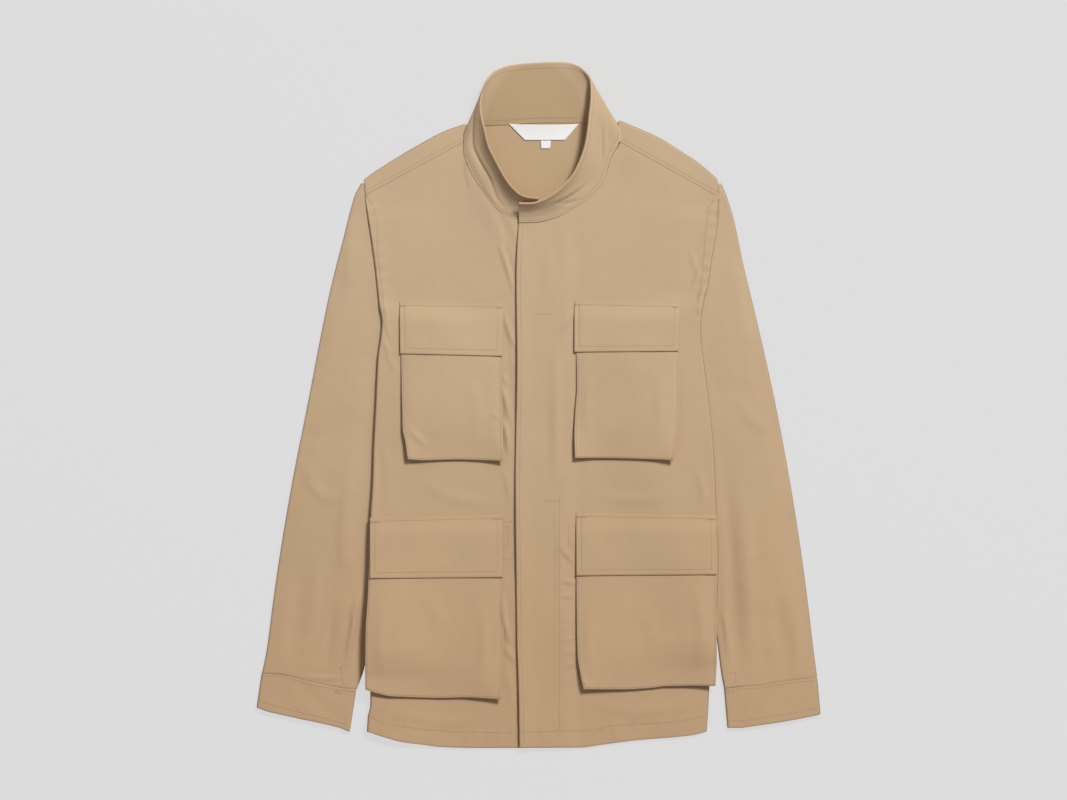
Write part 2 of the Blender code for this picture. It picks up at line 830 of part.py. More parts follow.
def collar(name, layer):
    rises = COLLAR_RISES
    columns = COLLAR_FINENESS * (len(COLLAR) - 2)

    def point(step, column):
        at, rise = column / COLLAR_FINENESS, rises[step]
        along = collar_middle(at + 0.5, rise) - collar_middle(at - 0.5, rise)
        up = collar_middle(at, min(1.0, rise + 0.1)) - collar_middle(at, max(0.0, rise - 0.1))
        return collar_middle(at, rise) + up.cross(along).normalized() * layer

    return cloth(name, len(rises) - 1, columns, point, wall=COLLAR_WALL)


# Pockets -----------------------------------------------------------------------


def bag_off(down):
    return BAG_OFF + BAG_BELLY * ease((down - BAG_START) / BAG_BELLY_OVER)


def flap_off(down):
    return FLAP_OFF + FLAP_RISE * ease(down / FLAP_RISE_OVER) + bag_off(down) - BAG_OFF


def pocket_point(pocket, edges, ends, across, down):
    """A point of a flap or bag on the front's plan, and how far down the pocket it is."""
    top = mix(ends[0][0], ends[1][0], across)
    y = mix(top, mix(ends[0][1], ends[1][1], across), down)
    x = mix(read(edges, y, 1), read(edges, y, 2), across)
    if ends is pocket["bag_ends"]:
        y = y - read(pocket["bow"], across) * down**2
    flap_top = mix(pocket["flap_ends"][0][0], pocket["flap_ends"][1][0], across)
    return x, y, flap_top - y


def flap(name, pocket):
    def point(row, column):
        across, ends = POCKET_COLUMNS[column], pocket["flap_ends"]
        x, y, down = pocket_point(pocket, pocket["flap"], ends, across, FLAP_ROWS[row])
        return x, y, front_level(pocket["side"], x, y) + flap_off(down)

    return cloth(name, len(FLAP_ROWS) - 1, len(POCKET_COLUMNS) - 1, point)


def bag(name, pocket):
    def point(row, column):
        """The rows under the flap lie at the flap's last rows, the others below it."""
        across, hidden = POCKET_COLUMNS[column], pocket["flap_ends"]
        ends, share = hidden, FLAP_ROWS[min(row - BAG_FLAP_ROWS, -1)]
        if row >= BAG_FLAP_ROWS:
            ends = pocket["bag_ends"]
            top, bottom = (mix(ends[0][n], ends[1][n], across) for n in (0, 1))
            start = (top - mix(hidden[0][1], hidden[1][1], across)) / (top - bottom)
            share = mix(start, 1.0, (row - BAG_FLAP_ROWS + 1) / BAG_ROWS)
        x, y, down = pocket_point(pocket, pocket["bag"], ends, across, share)
        return x, y, front_level(pocket["side"], x, y) + bag_off(down)

    return cloth(name, BAG_FLAP_ROWS + BAG_ROWS - 1, len(POCKET_COLUMNS) - 1, point)


def gusset(name, pocket):
    """Wall down both sides and along the bottom, between the front and the bag."""
    left_in, right_in = pocket["inset"]
    ends = pocket["bag_ends"]
    down_steps, along_steps = GUSSET_STEPS

    def line(step):
        if step <= down_steps:
            return 0.0, mix(GUSSET_START, 1.0, step / down_steps)
        step -= down_steps
        if step <= along_steps:
            return step / along_steps, 1.0
        return 1.0, mix(1.0, GUSSET_START, (step - along_steps) / down_steps)

    def point(rise, step):
        across, down = line(step)
        x, y, _ = pocket_point(pocket, pocket["bag"], ends, across, down)
        x += mix(left_in, -right_in, across)
        y += GUSSET_IN * (down - GUSSET_START) / (1 - GUSSET_START)
        below = mix(pocket["flap_ends"][0][0], pocket["flap_ends"][1][0], across) - y
        on_front = front_level(pocket["side"], x, y)
        clear = CLOTH / 2 + GUSSET_GAP
        return x, y, on_front + mix(clear, bag_off(below) - clear, rise)

    return cloth(name, 1, 2 * down_steps + along_steps, point)


def plate(name, corners, level, wall):
    """A small flat piece from its corners: top left, top right, bottom right, bottom left."""
    top_left, top_right, low_right, low_left = (Vector(c) for c in corners)

    def point(row, column):
        place = top_left.lerp(top_right, column).lerp(low_left.lerp(low_right, column), row)
        return place.x, place.y, level

    return cloth(name, 1, 1, point, wall=wall, colour=LABEL_CLOTH)


def build():
    for thing in list(bpy.data.objects):
        bpy.data.objects.remove(thing, do_unlink=True)
    back()
    front(-1, "front_right")
    front(1, "front_left")
    for side, name in ((-1, "right"), (1, "left")):
        sleeve(side, f"sleeve_{name}")
        cuff(side, f"cuff_{name}")
    collar("collar_outer", COLLAR_LAYER)
    collar("collar_inner", -COLLAR_LAYER)
    for name, pocket in POCKETS.items():
        bag(f"bag_{name}", pocket)
        gusset(f"gusset_{name}", pocket)
        flap(f"flap_{name}", pocket)
    label_level = CLOTH + GAP + LABEL / 2
    plate("neck_label", NECK_LABEL, label_level, LABEL)
    plate("size_tab", SIZE_TAB, label_level, LABEL)


build()
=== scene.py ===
"""Looks of the safari jacket that lies flat on its back: cloth, creases, sewing.

The forms repeat part.py's tables and functions, in millimetres, on fine grids.
+X is the picture's right, +Y runs from hem to collar and +Z up from the surface.
Sides are -1 for the picture's left and +1 for its right.
"""

import math

import bpy
import numpy as np
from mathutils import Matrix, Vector
from mathutils.bvhtree import BVHTree


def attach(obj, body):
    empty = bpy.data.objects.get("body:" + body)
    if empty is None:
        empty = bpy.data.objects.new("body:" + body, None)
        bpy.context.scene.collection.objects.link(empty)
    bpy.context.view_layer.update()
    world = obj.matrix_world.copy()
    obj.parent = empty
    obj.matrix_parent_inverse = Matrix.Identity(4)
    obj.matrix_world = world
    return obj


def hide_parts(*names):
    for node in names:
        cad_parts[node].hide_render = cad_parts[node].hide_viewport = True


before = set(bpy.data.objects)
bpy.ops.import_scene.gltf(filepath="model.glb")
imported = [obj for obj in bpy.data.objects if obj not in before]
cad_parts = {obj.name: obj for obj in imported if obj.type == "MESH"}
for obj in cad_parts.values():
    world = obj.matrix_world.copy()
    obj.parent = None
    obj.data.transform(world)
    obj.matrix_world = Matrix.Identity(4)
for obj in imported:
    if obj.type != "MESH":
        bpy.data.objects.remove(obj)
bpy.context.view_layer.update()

MM = 0.001

# Walls and how the layers lie on each other
CLOTH = 1.2  # one wall of canvas with its seam allowance
BAND = 1.6  # the cuffs' doubled band
LABEL = 1.0
GAP = 0.3  # between two pieces at a seam
FLOOR = CLOTH / 2  # middle of a wall that lies on the surface
SLEEVE_FOLD = 1.6  # radius of the fold along a flattened sleeve
SIDE_FOLD = 1.6  # radius of the fold down a side of the body
SHOULDER_FOLD = 1.6
CUFF_FOLD = 1.8
OVER_SLEEVE = 5.4  # middle of the wall that lies on a sleeve
SEAM_LEVEL = FLOOR + 2 * SLEEVE_FOLD  # where fronts meet yoke and sleeves
UNDER_LEVEL = 2.8  # the front that laps under, in the middle
OVER_LEVEL = 4.6  # the front that laps over it
SIDE_DROP = 1.2  # how much a front sinks between its side fold and the sleeve's edge
FALL = 85.0  # over which a front comes down beside the sleeve under it
SLEEVE_MARGIN = 4.5  # how far past the sleeve's edge the side strip stays level
SLEEVE_RAMP = 10.0  # over which the side strip comes down beside the sleeve
UNDERARM_EASE = 130.0  # above the sleeve's hidden corner
FOOT_ABOVE = 5.0  # above the underarm turn, where a front's edge starts to come down
FOOT_EASE = 30.0
TURN_BELOW = 45.0  # above the turn, where the edge starts to turn under
TURN_EASE = 40.0
CORNER_Y = 250.0  # above here a front's edge is turned by CORNER_TURN of a right angle
CORNER_EASE = 30.0
CORNER_TURN = 0.35
WIDE_PLATEAU = 60.0  # a front sinks in full only where it lies this far over the sleeve
LAP_TO = {-1: 25.0, 1: 30.0}  # the overlap reaches this far from x = 0
LAP_EASE = 18.0
NECK_EASE = 45.0
HIDDEN_PAST = 1.0  # what front and back leave free along the hidden armhole
YOKE_END = 1.0  # how much shorter the yoke is at the armhole
HEM_Y = -395.0  # about the hem's y
SLEEVE_TOP = 265.0
TOP_EASE = 45.0  # below the shoulder seam, over which a front settles

# Side line of the body, seen from above: y, x at the picture's left, x at its right.
# It is the armhole seam down to UNDERARM_TURN and the side fold below it.
BODY_SIDES = (
    ("y", "left", "right"),
    (-388, -205, 200), (-372, -204, 201), (-356, -201, 202), (-336, -201, 203),
    (-292, -201, 209), (-232, -201.5, 212), (-181, -202, 214), (-137, -201, 211.5),
    (-88, -198, 210), (-51, -197, 208), (-1, -194.5, 203), (35, -193, 198.5), (55, -192, 196),
    (77, -189, 193), (99, -187, 193), (120, -190.5, 196), (143, -193, 201.5),
    (170, -196, 205.5), (198, -200, 210.5), (231, -205, 215), (257, -209, 216.5),
    (265, -212, 217),
)
UNDERARM_TURN = {-1: (-187.0, 89.0), 1: (193.0, 99.0)}  # where the armhole goes under
SLEEVE_UNDERARM = {-1: (-108.0, 48.0), 1: (120.0, 51.0)}  # hidden corner of the sleeve
SIDE_SEAM_TOP = {-1: (-92.0, 44.0), 1: (104.0, 49.0)}  # side seam on the underside
SIDE_SEAM_HEM = {-1: -118.0, 1: 120.0}

HEM = (
    ("x", "y"),
    (-205, -388), (-181, -396), (-162, -401), (-139, -404), (-114, -407), (-76, -408),
    (48, -407.5), (76, -404), (114, -399), (162, -395), (186, -392), (200, -388),
)

# Fold along the top of each shoulder, from the neck out, and the forward seam's two ends
SHOULDER = {
    -1: (("x", "y"), (-89.5, 334), (-112, 326), (-146, 308), (-176, 290), (-199, 275), (-209.5, 267)),
    1: (("x", "y"), (97.5, 338), (121, 328), (143, 318), (164, 305), (190, 288), (214, 267)),
}
SHOULDER_SEAM = {-1: ((-90.5, 312.0), (-207.5, 249.0)), 1: ((98.5, 311.2), (213.5, 247.2))}
# Neck edge of each front, from the centre out
NECK = {
    -1: (
        ("x", "y"),
        (-90.5, 311.7), (-89.3, 298), (-81.5, 277), (-67.5, 255), (-54, 237), (-42, 228),
        (-29, 221.5), (-17, 221), (2, 223), (14, 226), (25, 230),
    ),
    1: (
        ("x", "y"),
        (-26, 217.2), (0, 218), (23, 224), (39, 233), (55, 243.4), (69, 257), (79, 273),
        (83.5, 288), (89, 301), (98.5, 310.9),
    ),
}
BACK_NECK = (
    ("x", "y"),
    (-89.5, 331), (-77, 332), (-63, 332.6), (-35, 334.6), (0, 336.6), (43, 336.6), (73, 337.6),
    (97.5, 335),
)
# Centre edges of the fronts: the wearer's left one laps over the right one
FLY_EDGE = (
    ("y", "x"),
    (-408, -23), (-344, -24), (-281, -26), (-195, -27), (-89, -28), (50, -26), (152, -27),
    (226, -24),
)
UNDERLAP_EDGE = (("y", "x"), (-408, 25), (230, 25))

# Long edges of each sleeve, down to its cuff
SLEEVE_OUTER = {
    -1: (
        ("y", "x"),
        (-321, -330), (-292, -324), (-232, -316), (-184, -309), (-95, -294), (6, -274),
        (89, -258), (137, -248), (196, -233), (249, -219), (265, -212),
    ),
    1: (
        ("y", "x"),
        (-324, 331), (-287, 326), (-253, 322), (-184, 313), (-95, 299), (6, 280), (108, 257),
        (166, 243), (226, 230), (265, 217),
    ),
}
SLEEVE_INNER = {
    -1: (
        ("y", "x"),
        (-339, -217), (-314, -208), (-268, -199), (-161, -168), (-54, -137), (48, -108),
    ),
    1: (
        ("y", "x"),
        (-337, 220), (-321, 217), (-276, 211), (-256, 206), (-161, 180), (-54, 149), (51, 120),
    ),
}
# Cuff seam and cuff edge, from the sleeve's outer side to its inner side
CUFF_SEAM = {
    -1: (
        ("x", "y"),
        (-330, -319), (-306, -320), (-286, -325), (-263, -331), (-242, -335), (-217, -338),
    ),
    1: (("x", "y"), (331, -324), (296, -328), (275, -331), (266, -333), (234, -335), (220, -337)),
}
CUFF_EDGE = {
    -1: (
        ("x", "y"),
        (-336, -360), (-322, -365), (-286, -373), (-257, -379), (-237, -384), (-225, -389),
    ),
    1: (("x", "y"), (335, -368), (316, -372), (289, -377), (262, -381), (241, -384), (224, -384)),
}

# Stand collar: its neck seam and the plan of its top edge, from the end that laps
# under, round the back, to the end that laps over. The curl says how gently it leaves
# the seam before it stands up: 1 is straight.
COLLAR = (
    ("seam x", "seam y", "seam z", "top x", "top y", "curl"),
    (2, 224.6, 3.1, -1, 246, 2.1),
    (-17, 222.6, 3.1, -17, 248, 2.1),
    (-29, 223, 3.2, -29, 256, 2.1),
    (-41.6, 229.4, 3.5, -40, 270, 2.1),
    (-53.6, 238.2, 3.8, -51, 290, 2.1),
    (-66.2, 255.6, 4.0, -60, 309, 2.1),
    (-80, 277.6, 4.3, -64, 326, 2.1),
    (-87.8, 298.4, 4.6, -67, 339, 1.9),
    (-88.7, 312.6, 4.8, -69, 352, 1.6),
    (-87.6, 325, 4.7, -68, 366, 1.15),
    (-83, 331.8, 3.9, -66, 376, 1.0),
    (-75, 334.5, 2.8, -62, 386, 1.0),
    (-61, 334.5, 1.6, -52, 397, 1.0),
    (-35, 335.5, 1.4, -33, 404, 1.0),
    (0, 337.5, 1.4, 0, 407, 1.0),
    (43, 337.5, 1.4, 30, 407.5, 1.0),
    (72, 338.5, 1.6, 46, 403.5, 1.0),
    (84, 338.2, 2.3, 55, 396, 1.0),
    (91.5, 334.8, 3.6, 60, 388, 1.0),
    (95.2, 328, 4.5, 61, 379, 1.1),
    (95.6, 317.5, 4.9, 61, 363, 1.3),
    (87.4, 302.6, 4.8, 59, 342, 1.6),
    (82, 289, 4.5, 57, 322, 1.9),
    (77.6, 274.2, 4.5, 52, 300, 2.0),
    (67.8, 258.4, 4.6, 42, 277, 2.1),
    (54.4, 245.2, 4.7, 32, 264, 1.9),
    (38.3, 234.8, 5.1, 20, 253, 2.0),
    (22.4, 225.7, 5.5, 6, 244.5, 2.1),
    (0, 219.8, 5.8, -8, 240, 2.1),
    (-24, 218.9, 5.8, -24, 240, 2.1),
)
COLLAR_BACK_RISE = 11.0
COLLAR_FRONT_RISE = 20.0
COLLAR_BACK_Y = 407.5
COLLAR_FRONT_Y = 240.0
COLLAR_SWEEP = 7  # how soon the top edge rises from the back round each side
COLLAR_WALL = 1.0
COLLAR_LAYER = 0.65  # each of its two layers lies this far from their middle

# Pockets: the flap's top line is at distance 0 down the pocket
FLAP_RISE = 1.8
FLAP_RISE_OVER = 24.0
FLAP_OFF = 1.4  # flap's middle above the front's at its top line
BAG_START = 22.0  # below the flap's top line
BAG_OFF = 1.7  # bag's middle above the front's at its mouth
BAG_BELLY = 3.4  # how much further off the front it stands at its bottom
BAG_BELLY_OVER = 150.0
GUSSET_IN = 3.5  # gusset's line inside the bag's edge
GUSSET_START = 0.4  # share of the bag's length above which there is no gusset wall
POCKETS = {
    "chest_right": {
        "side": -1,
        "flap": (("y", "left", "right"), (59, -165, -43), (122.5, -166, -42)),
        "flap_ends": ((123, 61), (121, 58)),
        "bag": (
            ("y", "left", "right"),
            (-65, -156, -42), (-43, -159, -43), (-29, -162, -43), (60, -164, -44.5),
            (109, -165, -43),
        ),
        "bag_ends": ((109, -64.5), (107, -66.5)),
        "bow": (("share", "drop"), (0, 0), (0.14, 1), (0.54, -0.7), (1, 0)),
        "inset": (GUSSET_IN, GUSSET_IN),
    },
    "chest_left": {
        "side": 1,
        "flap": (("y", "left", "right"), (63.5, 42, 166), (124, 42, 168)),
        "flap_ends": ((124, 63), (121, 64)),
        "bag": (
            ("y", "left", "right"),
            (-66, 43, 160), (-36, 42, 164), (-7, 43, 166.5), (21, 45, 167), (110, 43, 167),
        ),
        "bag_ends": ((110, -63), (107, -66)),
        "bow": (("share", "drop"), (0, 0), (0.46, -1), (0.82, -0.8), (1, 0)),
        "inset": (GUSSET_IN, GUSSET_IN),
    },
    "lower_right": {
        "side": -1,
        "flap": (("y", "left", "right"), (-208, -201, -43), (-130, -201, -43)),
        "flap_ends": ((-134, -206), (-130, -205)),
        "bag": (
            ("y", "left", "right"),
            (-349, -205.5, -45), (-330, -206.5, -44), (-271, -206, -42), (-218, -203, -43.5),
            (-144, -201, -44),
        ),
        "bag_ends": ((-148, -338), (-144, -350)),
        "bow": (
            ("share", "drop"),
            (0, 0), (0.08, 3.5), (0.19, 6), (0.36, 5.3), (0.54, 4), (0.78, 0.6), (1, 0),
        ),
        "inset": (9.0, GUSSET_IN),
    },
    "lower_left": {
        "side": 1,
        "flap": (("y", "left", "right"), (-203, 44.5, 211.5), (-128, 44, 211)),
        "flap_ends": ((-128, -203), (-131, -201.5)),
        "bag": (
            ("y", "left", "right"),
            (-338, 53, 209.5), (-324, 50, 210.5), (-299, 46, 211.5), (-271, 45, 211),
            (-142, 44, 210.5),
        ),
        "bag_ends": ((-142, -338), (-145, -334)),
        "bow": (
            ("share", "drop"),
            (0, 0), (0.35, 1.6), (0.53, 0.4), (0.62, -1), (0.8, -1), (1, 0),
        ),
        "inset": (GUSSET_IN, 9.0),
    },
}

NECK_LABEL = ((-36.5, 334.8), (48, 334.8), (31, 315), (-17, 315))
SIZE_TAB = ((2, 314.5), (14, 314.5), (13.5, 305), (2.5, 305))


# Looks: colours are linear
CANVAS_COLOUR = (0.535, 0.385, 0.238)  # at the shoulders
# painted shade: the cloth is painted darker toward the hem, standing for light that falls off there
HEM_SHADED_COLOUR = (0.508, 0.337, 0.196)
HEM_SHADE_FADE = (0.22, -0.38)  # from y to y, in metres, over which the painted shade toward the hem comes in
REVERSE_AND_SHADE = (0.93, 0.90, 0.84)  # the cloth's other side seen inside the neck, with painted shade there, against its face
NECK_MIDDLE = (-0.004, 0.324, 0.0)
NECK_SPAN = (0.064, 0.088, 1.0)
LABEL_COLOUR = (0.86, 0.85, 0.83)
THREAD_COLOUR = (0.27, 0.175, 0.10)
FLOOR_COLOUR = (0.08, 0.08, 0.08)
FLOOR_GLOW = 0.642  # keeps the paper even and its shadows light
SEAM_LAP = 0.2  # how far a front goes into the shoulder seam
ARMHOLE_LIFT = 1.5  # by which the body lies over the sleeve at the armhole
ARMHOLE_CURVE = 15.0  # over which it comes down
TUCK = 4.0  # how far the sleeve's upper wall goes under the body
SIDE_LIFT = 5.6  # of the low part of the right front's side fold
SIDE_LIFT_FROM = -50.0  # y
SIDE_LIFT_OVER = 280.0
SIDE_CURVE = 60.0
CORNER_TUCK = 2.2  # how far a front's neck corner goes under the collar
FOLD_SHADE = {-1: 3.0, 1: 8.0}  # painted shade on a turned fold, as many times as that on a cut edge, by side
CUFF_LAP = 0.6  # how far a sleeve goes into its cuff seam
SEAM_SINK = 0.55  # how far the collar's seam edge sinks into what it laps over
COLLAR_LAP = 2.0  # how far the layer that faces up covers the neck edge
COLLAR_LAP_OVER = 0.1  # share of its height over which it does so
COLLAR_LAP_TILT = 0.3  # its normal's rise, up or down, over which the lap comes and goes
COLLAR_UPRIGHT = 0.5  # normal's rise under which its creases die out
PLACKET_LIFT = 2.5  # how far its edge stands off the front under it
PLACKET_CURVE = 13.0  # over which it comes down
FLAP_TOP = 1.3  # middle of a flap above the front's where it is sewn on
UNDER_POCKET_SHARE = 0.4  # of the front's creases that shows through a pocket
UNDER_POCKET_LESS = 0.7  # or all of a crease but this much
POCKET_TROUGH = 0.7  # depth before which its troughs flatten out
POCKET_EDGE = 0.12  # share of its width beside each edge, over which its swelling rises
BAG_CORNERS = 4.4  # by which a bag's bottom corners stand up
BAG_CORNERS_LESS = 0.3  # share of that by which its bottom's middle lies down
BAG_CORNERS_FROM = 0.7  # share down the bag
BAG_SWELL = 0.5
BAG_SWELL_END = 0.2
FLAP_SWELL = 0.5
FLAP_CURL = 0.5
PRESSED = 0.35  # how much flatter a pocket's ironed side edges lie
PRESSED_EDGE = 0.07
HEM_STITCH = 15.0  # above the hem
SLEEVE_DIP = 1.6  # of the right sleeve beside the body
SLEEVE_CROWN = 1.3  # how far a flattened sleeve stands up in its middle
RIM_STEPS = 4
STITCH_STEP = 1.9  # half a stitch's pitch
THREAD_SIDES = 5
STEEPEST_STITCH = 1.5  # mm of rise, past which a stitch is left out
DROP_FROM = 0.2  # metres above or below the floor
THREAD = (  # share of a stitch, radius, rise over the cloth
    (-0.25, 0.10, -0.12), (0.1, 0.22, 0.03), (0.9, 0.22, 0.03), (1.25, 0.10, -0.12),
)

SLEEVE_SLANT = {-1: -13.0, 1: 12.0}  # degrees between each sleeve's grain and the body's

# How finely the cloth is divided
SMALL = 0.01
ROWS = (88, 20, 156, 22)  # shoulder to underarm turn, to side seam's top, to HEM_ROWS_FROM, to hem
BACK_ROWS = (56, 12, 90, 14)
HEM_ROWS_FROM = -350.0
FRONT_COLUMNS = 90
SIDE_CROWDING = 1.2  # how much closer the columns are toward the side
TOP_PASSES = 40  # to find where each slanting column meets the top edge
TOP_STRIDE = 0.7
NARROWEST_STRIP = 1.5  # under a side fold; a narrower one is left out
STRIP_COLUMNS = 26
CORNER_DROP = 1.5  # the front's turned edge starts this far below the shoulder seam
CORNER_ROWS = 7
FOLD_STEPS = 6
YOKE_ROWS = 16
YOKE_IN = 3.6  # how much closer to the collar its end comes than the solid's
YOKE_COLUMNS = 44
NECK_COLUMNS = 44
ARMHOLE_STEPS = 24
SLEEVE_STATIONS = 170
TUCK_ROWS = 60.0  # the tuck has died out a row in TUCK_ROWS down the sleeve
SLEEVE_ACROSS = (34, 18)  # outside and inside of the underarm turn
CUFF_STATIONS = 20
CUFF_BEND = 0.66  # share of a cuff's width where its columns change spacing
COLLAR_COLUMNS = 8  # between two rows of its table
COLLAR_RISES = 30
COLLAR_BESIDE = 0.5  # rows of the table, and the share of its height, for its slopes
COLLAR_NEAR = 0.05
FLAP_ROWS = 30
CURVE_STEPS = 12  # between two points of a soft curve
BAG_ROWS = 72
POCKET_COLUMNS = 66
GUSSET_STEPS = (30, 44, 5)  # down a side, along the bottom, from the front up


def mix(a, b, share):
    return a + (b - a) * share


def ease(share):
    share = np.clip(share, 0.0, 1.0)
    return share * share * (3 - 2 * share)


def steps(count):
    return np.linspace(0.0, 1.0, count + 1)


def read(table, at, column=1):
    """A column of a table at some places, eased through its rows without overshoot."""
    rows = np.array(table[1:], float)
    where, value = rows[:, 0], rows[:, column]
    span = np.diff(where)
    chord = np.diff(value) / span
    both = chord[:-1] + chord[1:]
    turns = chord[:-1] * chord[1:] <= 0
    inner = np.where(turns, 0.0, 2 * chord[:-1] * chord[1:] / np.where(turns, 1.0, both))
    slope = np.concatenate((chord[:1], inner, chord[-1:]))
    at = np.clip(at, where[0], where[-1])
    k = np.clip(np.searchsorted(where, at, side="right") - 1, 0, len(span) - 1)
    t = (at - where[k]) / span[k]
    return (
        (2 * t**3 - 3 * t**2 + 1) * value[k]
        + (t**3 - 2 * t**2 + t) * span[k] * slope[k]
        + (3 * t**2 - 2 * t**3) * value[k + 1]
        + (t**3 - t**2) * span[k] * slope[k + 1]
    )


def length_of(points):
    return np.linalg.norm(np.diff(points, axis=0), axis=1).sum()


def walk(points, share):
    """Points at shares of the length of a chain of points."""
    points = np.asarray(points, float)
    far = np.concatenate(([0.0], np.cumsum(np.linalg.norm(np.diff(points, axis=0), axis=1))))
    at = np.clip(share, 0.0, 1.0) * far[-1]
    return np.stack([np.interp(at, far, column) for column in points.T], axis=-1)


def smooth(points, count):
    """Points evenly along a soft curve through a few points."""
    points = np.asarray(points, float)
    if len(points) > 2:
        ends = np.vstack((2 * points[0] - points[1], points, 2 * points[-1] - points[-2]))
        t = steps(CURVE_STEPS)[:-1, None]
        parts = [
            b + 0.5 * t * ((c - a) + t * (2 * a - 5 * b + 4 * c - d + t * (3 * b - a - 3 * c + d)))
            for a, b, c, d in zip(ends, ends[1:], ends[2:], ends[3:])
        ]
        points = np.vstack((*parts, points[-1:]))
    return walk(points, np.linspace(0.0, 1.0, count))


def on_plan(table, shift=(0.0, 0.0)):
    return np.array(table[1:], float) + shift


# The body ------------------------------------------------------------------


def side_x(side, y):
    return read(BODY_SIDES, y, 1 if side < 0 else 2)


def sleeve_edge_x(side, y):
    """Inner limit of the sleeve that lies under the body."""
    turn, corner = UNDERARM_TURN[side], SLEEVE_UNDERARM[side]
    hidden = mix(corner[0], turn[0], np.clip((y - corner[1]) / (turn[1] - corner[1]), 0, 1))
    return np.where(y > corner[1], hidden, read(SLEEVE_INNER[side], y))


def side_seam_x(side, y):
    """Side seam on the underside, and above it the hidden armhole edge."""
    turn, corner = UNDERARM_TURN[side], SIDE_SEAM_TOP[side]
    hem = read(HEM, SIDE_SEAM_HEM[side])
    seam = mix(corner[0], SIDE_SEAM_HEM[side], (corner[1] - y) / (corner[1] - hem))
    hidden = mix(corner[0], turn[0], (y - corner[1]) / (turn[1] - corner[1]))
    return np.where(y >= turn[1], side_x(side, y), np.where(y > corner[1], hidden, seam))


def past_seam(side, y):
    """Half the gap at the side seam, and more along the hidden armhole."""
    return GAP / 2 + np.where(y > SIDE_SEAM_TOP[side][1], HIDDEN_PAST, 0.0)


def strip_level(side, x, y):
    """Middle of the wall between side fold and side seam, over sleeve or surface."""
    past = (sleeve_edge_x(side, y) - x) * side - SLEEVE_MARGIN
    return mix(OVER_SLEEVE, FLOOR, ease(past / SLEEVE_RAMP))


def side_turn(side, y):
    """How far a front's edge has turned under at a height, in radians."""
    above_turn = y - UNDERARM_TURN[side][1]
    high = mix(CORNER_TURN, 1.0, ease((CORNER_Y - y) / CORNER_EASE))
    low = 1 + ease((TURN_BELOW - above_turn) / TURN_EASE)
    return math.pi / 2 * np.where(above_turn > TURN_BELOW, high, low)


def fold_foot(side, y):
    """Level of a front's edge where its side fold ends."""
    turn = UNDERARM_TURN[side][1]
    strip = strip_level(side, side_x(side, y) - side * 2 * SIDE_FOLD, y)
    high = mix(OVER_SLEEVE, SEAM_LEVEL, ease((y - turn - FOOT_ABOVE) / FOOT_EASE))
    return np.where(y <= turn, strip, high)


def armhole_lift(side, x, y):
    """How much higher the body's edge lies where the sleeve goes under it."""
    inward = (side_x(side, y) - x) * side / ARMHOLE_CURVE
    above = y - UNDERARM_TURN[side][1] - FOOT_ABOVE
    return ARMHOLE_LIFT * np.exp(-(inward**2)) * ease(above / FOOT_EASE)


def fold_start(side, y):
    """x where the side fold begins, and the level there."""
    turned = side_turn(side, y)
    inward = GAP + CLOTH / 2 + SIDE_FOLD * np.sin(np.minimum(turned, math.pi / 2))
    level = fold_foot(side, y) + SIDE_FOLD * (1 - np.cos(turned))
    return side_x(side, y) - side * inward, level


def front_shelf_x(side, y):
    """How far in the front stays up over the sleeve, eased past the underarm."""
    turn, corner = UNDERARM_TURN[side], SLEEVE_UNDERARM[side]
    over = mix(corner[0], turn[0], ease((y - corner[1]) / UNDERARM_EASE))
    return np.where(y < corner[1], sleeve_edge_x(side, y), over)


def neck_corner(side):
    """Inner end of a shoulder seam, a little way under the collar."""
    near, far = np.array(SHOULDER_SEAM[side], float)
    return near + (near - far) * CORNER_TUCK / np.linalg.norm(near - far)


def front_top(side, x):
    """Top edge of a front: neck edge, then forward shoulder seam."""
    near, far = neck_corner(side), SHOULDER_SEAM[side][1]
    seam = mix(near[1], far[1], (x - near[0]) / (far[0] - near[0])) + SEAM_LAP
    return np.where((x - near[0]) * side < -SMALL, read(NECK[side], x), seam)


def front_level(side, x, y):
    """Middle of a front's wall above the surface, before its creases."""
    start, level = fold_start(side, y)
    inward = np.maximum(0.0, (start - x) * side)
    plateau = np.maximum(1.0, (start - front_shelf_x(side, y)) * side)
    wide = np.minimum(1.0, plateau / WIDE_PLATEAU)
    level = level - SIDE_DROP * np.minimum(1.0, inward / plateau) * wide
    edge = UNDER_LEVEL if side < 0 else OVER_LEVEL
    out = x * side - LAP_TO[side]
    level = mix(level, mix(edge, UNDER_LEVEL, ease(out / LAP_EASE)), ease((inward - plateau) / FALL))
    top = mix(edge, SEAM_LEVEL, ease(out / NECK_EASE))
    return mix(top, level, ease((front_top(side, x) - y) / TOP_EASE))


def centre_x(side, y):
    return read(UNDERLAP_EDGE if side < 0 else FLY_EDGE, y)


def row_levels(side, counts):
    """y of the rows between the underarm turn and HEM_ROWS_FROM, at a side edge."""
    seam = SIDE_SEAM_TOP[side][1]
    upper = mix(UNDERARM_TURN[side][1], seam, steps(counts[1])[:-1])
    return np.concatenate((upper, mix(seam, HEM_ROWS_FROM, steps(counts[2]))))


def row_places(top, turn, levels, hem, counts):
    """y of every row for each column's own top, turn and hem."""
    upper = mix(top, turn, steps(counts[0])[:-1, None])
    lower = mix(levels[-1], hem, steps(counts[3])[1:, None])
    return np.vstack((upper, levels + 0 * top, lower))


